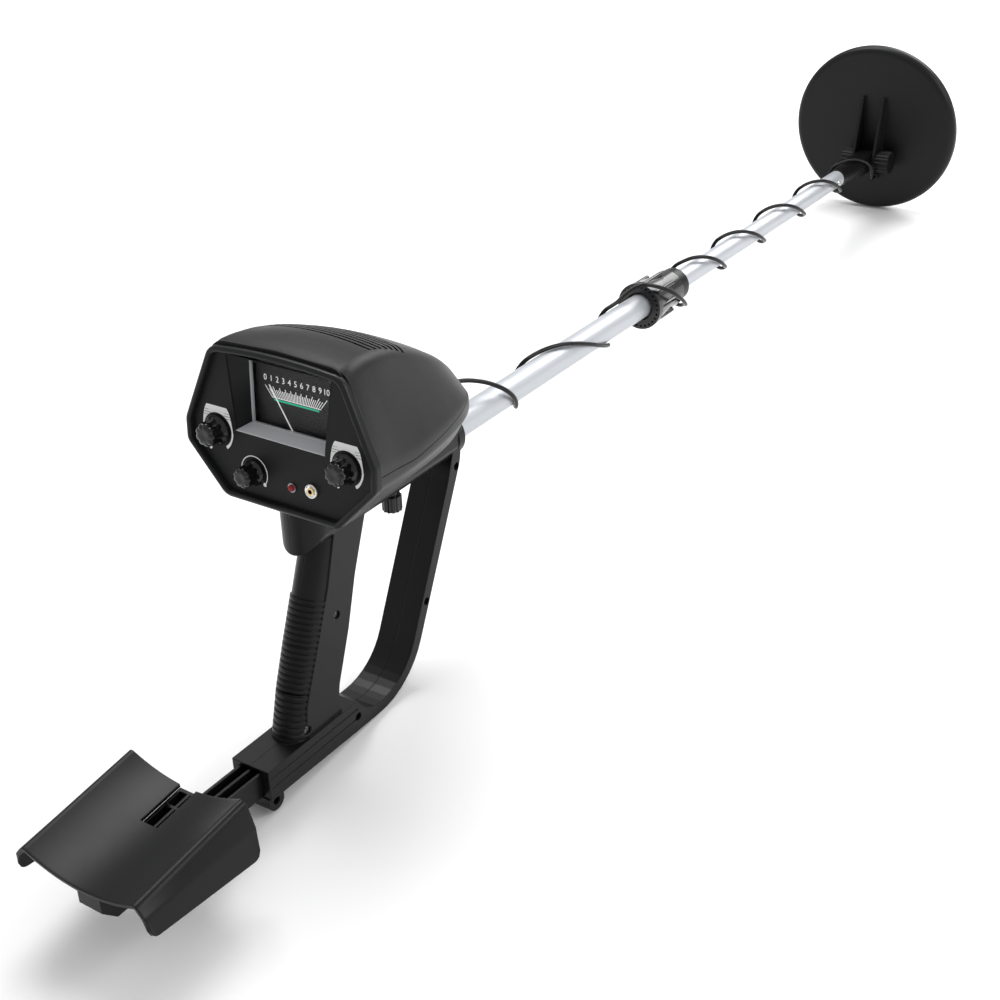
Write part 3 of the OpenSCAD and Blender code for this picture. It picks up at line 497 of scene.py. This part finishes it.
def crown(outline, rise, steps, points=8):
    # The flat between the two top corners is raised to a shallow arch
    left_end = (steps + 1) * 4 - 1
    a, b = outline[left_end], outline[left_end + 1]
    arch = [a.lerp(b, k / points) + Vector((0, rise * (1 - (2 * k / points - 1) ** 2))) for k in range(1, points)]
    return outline[:left_end + 1] + arch + outline[left_end + 1:]


def box_outline(section, inset=0.0, steps=6):
    return crown(rounded(inset_corners(corners(section), inset), steps), section.crown, steps)


print(len(box_outline(SECTIONS[0])), "points round the box")

# %% [markdown]
# The box is two mouldings that meet along a parting line, and each is built as its own thin shell. At every station
# the outline is cut where it crosses the parting line. The part that is left gives the outside, the same outline set
# in by the wall gives the inside, and together they are one closed loop that is swept along the box. A hair's gap
# along the line reads as the dark joint, and the line drops a little at the nose, where the roof comes down to it.
# The loop is sampled evenly, so that the rings join in clean quads.

# %% Cut an outline at the parting line
RIM_BACK = 5.8
SHELL_START = RIM_BACK + 0.1
JOINT_HALF = 0.3
LEAN_FADE = 40
PANEL_MIDDLE = 67
WALL = 2.6
PARTING = [(-30, 67.6), (4, 67), (60, 57), (240, 57)]
STATIONS = 44
SAMPLES = 84


def parting_at(u):
    for (u0, v0), (u1, v1) in zip(PARTING, PARTING[1:]):
        if u <= u1:
            return v0 + (v1 - v0) * (u - u0) / (u1 - u0)
    return PARTING[-1][1]


def half_outline(outline, level, top):
    # The outline starts at the right foot and runs up the right side, over the roof and down the left side
    rising = max(k for k in range(1, len(outline) // 2) if outline[k - 1].y < level <= outline[k].y)
    falling = max(k for k in range(len(outline) // 2, len(outline)) if outline[k].y < level <= outline[k - 1].y)

    def crossing(k):
        a, b = outline[k - 1], outline[k]
        return a.lerp(b, (level - a.y) / (b.y - a.y))

    if top:
        return [crossing(rising)] + outline[rising:falling] + [crossing(falling)]
    return [crossing(falling)] + outline[falling:] + outline[:rising] + [crossing(rising)]


def resample(points, count):
    far = [0.0]
    for a, b in zip(points, points[1:]):
        far.append(far[-1] + (b - a).length)
    spread, k = [], 0
    for n in range(count):
        want = far[-1] * n / (count - 1)
        while k < len(far) - 2 and far[k + 1] < want:
            k += 1
        span = max(far[k + 1] - far[k], 1e-9)
        spread.append(points[k].lerp(points[k + 1], min((want - far[k]) / span, 1)))
    return spread


print("parting line at the front", round(parting_at(4), 1), "mm up")


# %% Two box shells
def lean_at(u):
    return LEAN * max(0, 1 - u / LEAN_FADE)


def box_shell(name, top):
    rings = []
    for k in range(STATIONS + 1):
        u = SHELL_START + (SECTIONS[-1].u - SHELL_START) * (1 - (1 - k / STATIONS) ** 1.5)
        section = section_at(u)
        between = 0.45 * section.top_v + 0.55 * section.high
        level = min(parting_at(u + lean_at(u) * PANEL_MIDDLE), between) + (JOINT_HALF if top else -JOINT_HALF)
        outside = resample(half_outline(box_outline(section), level, top), SAMPLES)
        inside = resample(half_outline(box_outline(section, WALL), level, top), SAMPLES)
        rings.append((u, outside + inside[::-1]))

    def rule(i, j):
        u, loop = rings[round(j * STATIONS)]
        point = loop[round(i * 2 * SAMPLES) % (2 * SAMPLES)]
        return on_pole(point.x, u + lean_at(u) * point.y, point.y)

    return bend_grid(name, 2 * SAMPLES, STATIONS, rule, fill=True)


upper = box_shell("case_upper", True)
lower = box_shell("case_lower", False)
print("upper", len(upper.data.vertices), "lower", len(lower.data.vertices))

# %% [markdown]
# The nose is closed by a small domed plate. It is a grid bent into a disc: one way runs round the last outline, the
# other from the middle to the edge and back behind, which gives it its thickness.

# %% Nose plate
NOSE_U = SECTIONS[-1].u
NOSE_MIDDLE = Vector((0, 39))
NOSE_STEPS = [(0.0, 2.4), (0.35, 2.3), (0.7, 1.8), (0.92, 0.9), (1.0, -0.1), (0.97, -1.2), (0.0, -1.2)]


def nose_rule(i, j):
    outline = box_outline(section_at(NOSE_U))
    reach, lift = NOSE_STEPS[round(j * (len(NOSE_STEPS) - 1))]
    point = outline[round(i * len(outline)) % len(outline)]
    place = NOSE_MIDDLE + (point - NOSE_MIDDLE) * reach
    return on_pole(place.x, NOSE_U + lift, place.y)


nose = bend_grid("case_nose", len(box_outline(SECTIONS[-1])), len(NOSE_STEPS) - 1, nose_rule)
finish_piece(nose, "handle", CASE)

# %% [markdown]
# Seven louvres let the speaker be heard. They are slots across the roof, each cut by a thin block. The battery doors
# sit in two openings cut in the floor.

# %% Louvres and battery doors
def cut(piece, cutter):
    apply_modifier(piece, "BOOLEAN", object=cutter, operation="DIFFERENCE", solver="EXACT")
    bpy.data.objects.remove(cutter)


def block(name, low, high, place=on_pole):
    start_clean()
    bpy.ops.mesh.primitive_cube_add(size=1)
    piece = bpy.context.object
    piece.name = name
    for vertex in piece.data.vertices:
        share = [c + 0.5 for c in vertex.co]
        vertex.co = place(*[a + (b - a) * s for a, b, s in zip(low, high, share)])
    tidy_mesh(piece)
    return piece


LOUVRES = 7
LOUVRE_FIRST, LOUVRE_PITCH, LOUVRE_WIDE, LOUVRE_HALF = 56, 6.2, 2.8, 48
DOOR_INNER, DOOR_OUTER, DOOR_BACK, DOOR_FRONT = 21, 43, 30, 80
for k in range(LOUVRES):
    u = LOUVRE_FIRST + LOUVRE_PITCH * k
    cut(upper, block("cutter", (-LOUVRE_HALF, u, 100), (LOUVRE_HALF, u + LOUVRE_WIDE, 160)))
for side in (-1, 1):
    x0, x1 = sorted((side * DOOR_INNER, side * DOOR_OUTER))
    cut(lower, block("cutter", (x0, DOOR_BACK, 12), (x1, DOOR_FRONT, 26)))
finish_piece(upper, "handle", CASE, ("box_upper_shell",), smooth=28)
finish_piece(lower, "handle", CASE, ("box_lower_shell",), smooth=28)

# %% [markdown]
# The rim is a ring with a soft roll round the front of the box. Its profile is a short closed loop of points, swept
# round the panel's outline: the grid's one way runs round the box, its other way round the profile.

# %% Rim
RIM_PROFILE = [(-RIM_BACK, 0), (-2, 0), (-0.6, 0.02), (0.4, 0.3), (1.15, 0.95), (1.65, 1.9), (1.8, 2.9), (1.6, 3.9),
               (1.0, 4.6), (0.2, 4.9), (-3, 5.0), (-3, 2.7), (-RIM_BACK, 2.7)]


def rim_rule(i, j):
    z, inset = RIM_PROFILE[round(j * len(RIM_PROFILE)) % len(RIM_PROFILE)]
    outline = box_outline(SECTIONS[0], inset)
    point = outline[round(i * len(outline)) % len(outline)]
    return on_panel(point.x, point.y, z)


rim = bend_grid("rim", len(box_outline(SECTIONS[0])), len(RIM_PROFILE), rim_rule)
finish_piece(rim, "handle", RIM, ("box_bezel",), smooth=40)

# %% [markdown]
# ## Marks on the panel
# The white marks are ink, so each is a sheet a twentieth of a millimetre thick lying on the panel. Round each large
# knob is a bottle-shaped band that is thin at the sides and broad on top, with three dark lines across its shoulders.
# Words are left off: only marks, ticks and numbers are drawn.

# %% Printed bands
PANEL_Z = -3
INK = 0.06
DISC_AT, SENS_AT, VOLUME_AT = (-60, 69.5), (60, 68), (-26.4, 44)


def ink_band(name, centre, inner, outer, start, end, steps=96):
    def rule(i, j):
        angle = math.radians(start + (end - start) * i)
        reach = inner(angle) + (outer(angle) - inner(angle)) * j
        return on_panel(centre[0] + reach * math.cos(angle), centre[1] + reach * math.sin(angle), PANEL_Z + INK)

    piece = bend_grid(name, steps, 2, rule)
    apply_modifier(piece, "SOLIDIFY", thickness=INK / 1000, offset=1)
    return finish_piece(piece, "handle", WHITE)


def shoulder(angle):
    # Distance to the bottle's outer edge: a flat top, sloping shoulders and round sides
    up = math.sin(angle)
    out = abs(math.cos(angle))
    top = 18.6 / up if up > 0.5 else 99
    slant = 20.2 / (up * 0.42 + out) if up > -0.2 else 99
    foot = 14.9 + max(0, -up - 0.45) * 2.2
    return min(top, slant if up > 0.2 else 99, 14.7 + max(0, up) ** 3 * 9 if up > 0 else foot)


for label, centre in (("disc", DISC_AT), ("sens", SENS_AT)):
    ink_band(label + "_band", centre, lambda a: 13.4, shoulder, -58, 238)
ink_band("volume_arc", VOLUME_AT, lambda a: 12.0, lambda a: 12.75, -40, 218)


def ink_dot(name, centre, radius):
    start_clean()
    bpy.ops.mesh.primitive_circle_add(vertices=32, radius=1, fill_type="NGON")
    piece = bpy.context.object
    piece.name = name
    for vertex in piece.data.vertices:
        vertex.co = on_panel(centre[0] + vertex.co.x * radius, centre[1] + vertex.co.y * radius, PANEL_Z + INK)
    bpy.ops.object.mode_set(mode="EDIT")
    bpy.ops.mesh.select_all(action="SELECT")
    bpy.ops.mesh.extrude_region_move(TRANSFORM_OT_translate={"value": FACE * -INK / 2000})
    bpy.ops.object.mode_set(mode="OBJECT")
    tidy_mesh(piece)
    return finish_piece(piece, "handle", WHITE)


ink_dot("disc_start", (DISC_AT[0] - 8.4, DISC_AT[1] - 15.4), 1.5)
ink_dot("sens_start", (SENS_AT[0] - 8.4, SENS_AT[1] - 15.4), 1.5)
ink_dot("volume_low", (VOLUME_AT[0] - 9.7, VOLUME_AT[1] - 7.7), 1.0)
ink_dot("volume_high", (VOLUME_AT[0] + 9.4, VOLUME_AT[1] - 7.9), 1.5)


# %% Lines across the bands
def bar(name, low, high, finish):
    finish_piece(block(name, low, high, on_panel), "handle", finish)


LINE_HALF = 0.22
BAND_LINES = [(14.3, 8.0, 11.4), (12.2, 6.0, 12.6), (10.3, 8.8, 13.6)]
for label, (x, y) in (("disc", DISC_AT), ("sens", SENS_AT)):
    for side in (-1, 1):
        for k, (rise, inner, outer) in enumerate(BAND_LINES):
            x0, x1 = sorted((x + side * inner, x + side * outer))
            low = (x0, y + rise - LINE_HALF, PANEL_Z + INK)
            high = (x1, y + rise + LINE_HALF, PANEL_Z + 2 * INK)
            bar(f"{label}_line_{side + 1}{k}", low, high, PANEL)

# %% [markdown]
# ## Meter
# The meter sits at the bottom of a deep recess. Its four walls slope in from the panel to the window. The bottom
# one is a glossy black ledge, coloured light grey as a painted reflection. Each wall is a flat sheet with a thickness,
# so the four meet along clean mitres. Over the dial lies a clear pane whose thick edges have a pale, half-clear
# colour:
# a painted highlight.

# %% Recess walls and pane
FRONT = [(-48.5, 130.5), (-42.5, 73), (41, 72.6), (49, 130.5)]
BACK = [(-38, 124.5), (-39, 76), (38.5, 76), (38, 124.5)]
PANE_Z = -17
RECESS_WALL = 0.8


def wall_sheet(name, a, b, finish, replaced=()):
    near_a, near_b = on_panel(*FRONT[a], PANEL_Z), on_panel(*FRONT[b], PANEL_Z)
    far_a, far_b = on_panel(*BACK[a], PANE_Z), on_panel(*BACK[b], PANE_Z)

    def rule(i, j):
        return near_a.lerp(near_b, i).lerp(far_a.lerp(far_b, i), j)

    piece = bend_grid(name, 4, 4, rule)
    apply_modifier(piece, "SOLIDIFY", thickness=RECESS_WALL / 1000, offset=0)
    finish_piece(piece, "handle", finish, replaced)


wall_sheet("recess_left", 0, 1, RIM, replaced=("meter_window",))
# The ledge's light grey is a painted reflection.
wall_sheet("recess_ledge", 1, 2, LEDGE_PAINTED_REFLECTION)
wall_sheet("recess_right", 2, 3, RIM)
wall_sheet("recess_top", 3, 0, RIM)
bar("pane", (-37.6, 76.4, PANE_Z - 1.3), (37.6, 124, PANE_Z - 0.4), PANE)
# The pale edge strips are a painted highlight.
bar("pane_edge_left", (-38.2, 76.4, PANE_Z - 1.2), (-36.4, 124, PANE_Z + 0.6), CLEAR_EDGE_PAINTED_HIGHLIGHT)
bar("pane_edge_right", (36.6, 76.4, PANE_Z - 1.2), (37.9, 124, PANE_Z + 0.3), CLEAR_EDGE_PAINTED_HIGHLIGHT)
bar("pane_edge_low", (-37.5, 75.9, PANE_Z - 1.2), (37.5, 76.9, PANE_Z + 0.3), CLEAR_EDGE_PAINTED_HIGHLIGHT)

# %% [markdown]
# The scale is printed on the dial card: ticks that point at the needle's pivot between two straight lines, a green
# bar under them, and the numbers 0 to 10 above. The numbers are text objects turned into meshes. The white and green
# print carry a painted glow that brightens them.

# %% Dial
DIAL_Z = -21.5
PIVOT = (0.4, 69)
TICK_FOOT, TICK_TOP, NUMBER_V = 97.6, 105.6, 109.6
TICKS = 30


def tick(k):
    lean = math.tan(math.radians(-38 + 76 * k / TICKS))
    long = 1.0 if k % 3 == 0 else 0.75
    top = TICK_FOOT + (TICK_TOP - TICK_FOOT) * long
    foot_x, top_x = PIVOT[0] + (TICK_FOOT - PIVOT[1]) * lean, PIVOT[0] + (top - PIVOT[1]) * lean
    points = [(foot_x - 0.3, TICK_FOOT), (foot_x + 0.3, TICK_FOOT), (top_x + 0.34, top), (top_x - 0.34, top)]

    def rule(i, j):
        low = Vector(points[0]).lerp(Vector(points[1]), i)
        high = Vector(points[3]).lerp(Vector(points[2]), i)
        return on_panel(*low.lerp(high, j), DIAL_Z)

    piece = bend_grid(f"tick_{k}", 1, 1, rule)
    apply_modifier(piece, "SOLIDIFY", thickness=INK / 1000, offset=0)
    return piece


def join(name, pieces):
    start_clean()
    for piece in pieces:
        piece.select_set(True)
    bpy.context.view_layer.objects.active = pieces[0]
    bpy.ops.object.join()
    pieces[0].name = name
    return pieces[0]


finish_piece(join("dial_ticks", [tick(k) for k in range(TICKS + 1)]), "handle", DIAL_WHITE_PAINTED_GLOW)
PRINT_LOW, PRINT_HIGH = DIAL_Z - 0.05, DIAL_Z + 0.05
line_low, line_high = (-22.4, TICK_FOOT - 0.4, PRINT_LOW), (23.2, TICK_FOOT + 0.1, PRINT_HIGH)
bar("dial_line", line_low, line_high, DIAL_WHITE_PAINTED_GLOW)
bar("dial_green", (-20.4, 95.2, PRINT_LOW), (21.4, 96.5, PRINT_HIGH), GREEN_PAINTED_GLOW)


def number(k):
    start_clean()
    bpy.ops.object.text_add()
    text = bpy.context.object
    text.data.body = str(k)
    text.data.size = 6.4
    text.data.align_x = "CENTER"
    text.data.extrude = 0.05
    bpy.ops.object.convert(target="MESH")
    piece = bpy.context.object
    for vertex in piece.data.vertices:
        x = 0.4 + (k - 5) * 5.66 + vertex.co.x * 0.95
        vertex.co = on_panel(x, NUMBER_V + vertex.co.y, DIAL_Z + vertex.co.z)
    return piece


finish_piece(join("dial_numbers", [number(k) for k in range(11)]), "handle", DIAL_WHITE_PAINTED_GLOW)

# %% [markdown]
# ## Knobs
# A knob is a flared skirt under a cap with nine round lobes. It is a grid wrapped round the shaft: the profile sets
# how far out each ring lies, and a gentle wave round the cap makes the lobes.

# %% Knobs
KNOB_PROFILE = [(0, 0), (0, 1.20), (1.0, 1.22), (2.0, 1.18), (3.2, 1.06), (4.4, 1.0), (8, 0.985), (11.5, 0.965),
                (13.0, 0.94), (14.2, 0.86), (14.8, 0.72), (14.9, 0.45), (14.6, 0.2), (14.5, 0)]
LOBES = 9


def knob(name, joint, radius, body, nodes):
    centre = Vector(JOINTS[joint]["pos_m"])

    def rule(i, j):
        height, reach = KNOB_PROFILE[round(j * (len(KNOB_PROFILE) - 1))]
        wave = 0.5 + 0.5 * math.cos(LOBES * math.tau * i)
        depth = 0.11 if 4 < height < 15 and reach > 0.5 else 0.0
        out = radius * (reach - depth * (1 - wave) ** 2)
        lift = (PANEL_Z + 0.5 + height) / 1000
        angle = math.tau * i
        return centre + (SIDE * math.cos(angle) + FACE_UP * math.sin(angle)) * out / 1000 + FACE * lift

    piece = bend_grid(name, 108, len(KNOB_PROFILE) - 1, rule)
    apply_modifier(piece, "BEVEL", width=0.0003, segments=2, limit_method="ANGLE", angle_limit=math.radians(50))
    return finish_piece(piece, body, KNOB, nodes, smooth=38)


knob("knob_disc", "disc_turn", 9.5, "knob_disc", ("disc_knob",))
knob("knob_sens", "sens_turn", 9.5, "knob_sens", ("sens_knob",))
knob("knob_volume", "volume_turn", 8.25, "knob_volume", ("volume_knob",))

# %% [markdown]
# The headphone socket's nut has a knurled edge and a dished face, wrapped the same way. The lamp keeps the frame's
# own holder.

# %% Socket nut
NUT_PROFILE = [(0, 3.05), (0, 5.2), (0.3, 5.5), (1.9, 5.5), (2.4, 5.1), (2.5, 4.6), (2.1, 4.0), (2.1, 3.05),
               (0, 3.05)]
SOCKET_AT = (28.1, 43.1)


def nut_rule(i, j):
    height, out = NUT_PROFILE[round(j * (len(NUT_PROFILE) - 1))]
    knurl = 0.14 * math.cos(36 * math.tau * i) if out > 5.3 else 0
    angle = math.tau * i
    x = SOCKET_AT[0] + (out + knurl) * math.cos(angle)
    y = SOCKET_AT[1] + (out + knurl) * math.sin(angle)
    return on_panel(x, y, PANEL_Z + height)


nut = bend_grid("socket_nut", 144, len(NUT_PROFILE) - 1, nut_rule)
finish_piece(nut, "handle", CHROME, ("jack_nut",))

# %% [markdown]
# ## Armrest
# The saddle is a thin moulded sheet: a shallow trough for the forearm whose edges fold down into skirts. The rule
# gives the section from foot to foot, the sheet gets its thickness, and a notch is cut over the bar.

# %% Saddle
SADDLE_FRONT, SADDLE_LEN = -124, 106
NOTCH_HALF, NOTCH_BACK = 8, -164


def saddle_profile(k, s):
    # s runs from one foot at -1 over the trough to the other at 1
    edge_x, edge_v, low_v = 54 - k, -135 - 14 * k, -148 - 12 * k
    near_end = max(0, abs(2 * k - 1) - 0.86) / 0.14
    band_v, foot_v = -154 - 2 * k, -180 + 9 * k + 7 * (1 - math.sqrt(1 - near_end**2))
    side = 1 if s > 0 else -1
    a = abs(s)
    trough = low_v + (edge_v - low_v) * (min(a / 0.7, 1)) ** 2
    if a <= 0.69:
        return side * edge_x * a / 0.7, trough
    joint = 0.69 / 0.7
    below = edge_v * 0.84 + band_v * 0.16
    corner = ((edge_x * joint, low_v + (edge_v - low_v) * joint**2), (edge_x, edge_v), (edge_x + 1, below))
    if a <= 0.73:
        t = (a - 0.69) / 0.04
        bend = [(1 - t) ** 2 * p + 2 * t * (1 - t) * q + t * t * r for p, q, r in zip(*corner)]
        return side * bend[0], bend[1]
    if a <= 0.85:
        t = (a - 0.73) / 0.12
        return side * (edge_x + 1 + 5 * t), below * (1 - t) + band_v * t
    t = (a - 0.85) / 0.15
    return side * (edge_x + 6 + (2 + k) * t), band_v + (foot_v - band_v) * t


def saddle_rule(i, j):
    x, v = saddle_profile(j, 2 * i - 1)
    return on_pole(x, SADDLE_FRONT - SADDLE_LEN * j, v)


saddle = bend_grid("saddle", 200, 50, saddle_rule)
apply_modifier(saddle, "SOLIDIFY", thickness=0.003, offset=-1)
cut(saddle, block("cutter", (-NOTCH_HALF, NOTCH_BACK, -190), (NOTCH_HALF, -100, -120)))
apply_modifier(saddle, "BEVEL", width=0.0007, segments=3, limit_method="ANGLE", angle_limit=math.radians(40))
finish_piece(saddle, "armrest", FRAME, ("armrest_saddle",), smooth=40)

# %% [markdown]
# ## The lead
# The coil's lead leaves the nose of the box and is wound down the pole to the coil. Where it crosses the pole is
# known along its length, so the turns are worked out: half a turn between one crossing and the next, with the
# radius growing where the lead rides over the clamp. The stretch on the lower tube moves with the pole, and the tail
# runs between the pole and the coil.

# %% Winding rule
CROSSINGS = [297, 349, 460, 492, 607, 640, 713, 734, 813, 843, 924, 954, 1034, 1063, 1138]
FIRST_TURN = -46.6
LEAD_R = 2.0


def ease(u, start, end):
    t = min(1, max(0, (u - start) / (end - start)))
    return t * t * (3 - 2 * t)


def wound(turns):
    k = min(int(turns), len(CROSSINGS) - 2)
    before, a = CROSSINGS[max(k - 1, 0)], CROSSINGS[k]
    b, after = CROSSINGS[k + 1], CROSSINGS[min(k + 2, len(CROSSINGS) - 1)]
    t = turns - k
    u = a + (b - a) * t
    u += 0.10 * t * (1 - t) * ((b - a) - 0.5 * (a - before) - 0.5 * (after - b)) * (1 - 2 * t)
    radius = 15.0 + 12.6 * ease(u, 500, 536) - 13.0 * ease(u, 580, 650)
    angle = math.radians(FIRST_TURN - 180 * turns)
    return on_pole(radius * math.cos(angle), u, radius * math.sin(angle))


def wind(start, end):
    steps = round((end - start) * 16)
    return [wound(start + (end - start) * k / steps) for k in range(steps + 1)]


LEAD_START = [(-10, 213, 34), (-10, 222, 34), (-7, 236, 32.5), (1, 253, 28), (10, 268, 20), (15.5, 282, 8),
              (14.5, 291, -3)]
SPLIT, LAST = 4.6, 13.7
TAIL = [(15.6, 1122, -8), (14, 1129, -16.5), (10.6, 1137, -22.5), (8, 1146, -25.2)]
GLAND_MOUTH = on_coil(7, -27, -13)


def tube_piece(name, route, radius):
    start_clean()
    bpy.ops.curve.primitive_nurbs_path_add()
    curve = bpy.context.object
    curve.name = name
    data = curve.data
    data.splines.clear()
    spline = data.splines.new("BEZIER")
    spline.bezier_points.add(len(route) - 1)
    for point, place in zip(spline.bezier_points, route):
        point.co = place
        point.handle_left_type = point.handle_right_type = "AUTO"
    data.dimensions = "3D"
    data.bevel_depth = radius / 1000
    data.bevel_resolution = 4
    data.resolution_u = 4
    data.use_fill_caps = True
    curve.location = (0, 0, 0)
    curve.rotation_euler = (0, 0, 0)
    bpy.ops.object.convert(target="MESH")
    piece = bpy.context.object
    piece.name = name
    return piece


upper_lead = tube_piece("lead_upper", [on_pole(*p) for p in LEAD_START] + wind(0, SPLIT), LEAD_R)
finish_piece(upper_lead, "handle", LEAD, ("cable_upper",), smooth=60)
lower_lead = tube_piece("lead_lower", wind(SPLIT, LAST), LEAD_R)
finish_piece(lower_lead, "pole_lower", LEAD, ("cable_lower",), smooth=60)
REACH = abs(JOINTS["pole_extend"]["range_m"][0])
whole = (wound(LAST) - wound(SPLIT)).dot(POLE)
tuple(wound(LAST))
(whole - REACH) / whole
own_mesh(lower_lead)
tail = tube_piece("lead_tail", [wound(LAST)] + [on_pole(*p) for p in TAIL] + [GLAND_MOUTH], LEAD_R)
finish_piece(tail, None, LEAD, ("cable_tail",), smooth=60)
tuple(wound(LAST))
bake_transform(tail)

length = sum((b - a).length for a, b in zip(wind(0, LAST), wind(0, LAST)[1:]))
print("wound lead", round(length, 2), "m")

# %% [markdown]
# ## Light and floor
# A black object is drawn by what it reflects. A pale floor and a bright, even surround give the soft grey edges, and
# three large panels give the broad highlights: one high on the left, one over the right shoulder and one behind.

# %% Light and floor
SURROUND = 0.62


def area_light(name, place, size, power):
    data = bpy.data.lights.new(name, "AREA")
    data.shape = "SQUARE"
    data.size = size
    data.energy = power
    lamp = bpy.data.objects.new(name, data)
    bpy.context.scene.collection.objects.link(lamp)
    lamp.location = place
    aim = on_pole(0, 250, 0) - Vector(place)
    lamp.rotation_euler = aim.to_track_quat("-Z", "Y").to_euler()


def floor():
    start_clean()
    bpy.ops.mesh.primitive_plane_add(size=14, location=(0, 0, -0.0005))
    plane = bpy.context.object
    plane.name = "floor"
    recipe = Recipe("pale_floor")
    cloud = recipe.noise(2.0)
    recipe.set(Base_Color=recipe.mix(cloud, grey(0.93), grey(0.96)), Roughness=cloud * 0.1 + 0.7)
    plane.data.materials.append(recipe.material)


world = bpy.data.worlds.new("surround")
world.use_nodes = True
world.node_tree.nodes["Background"].inputs[0].default_value = (1, 1, 1, 1)
world.node_tree.nodes["Background"].inputs[1].default_value = SURROUND
bpy.context.scene.world = world
bpy.context.scene.view_settings.view_transform = "Standard"
floor()
area_light("key", (-1.0, 1.0, 2.8), 1.8, 70)
area_light("side", (2.4, 0.8, 1.6), 1.2, 30)
area_light("back", (0.2, 2.9, 1.7), 1.6, 45)
print("lit")
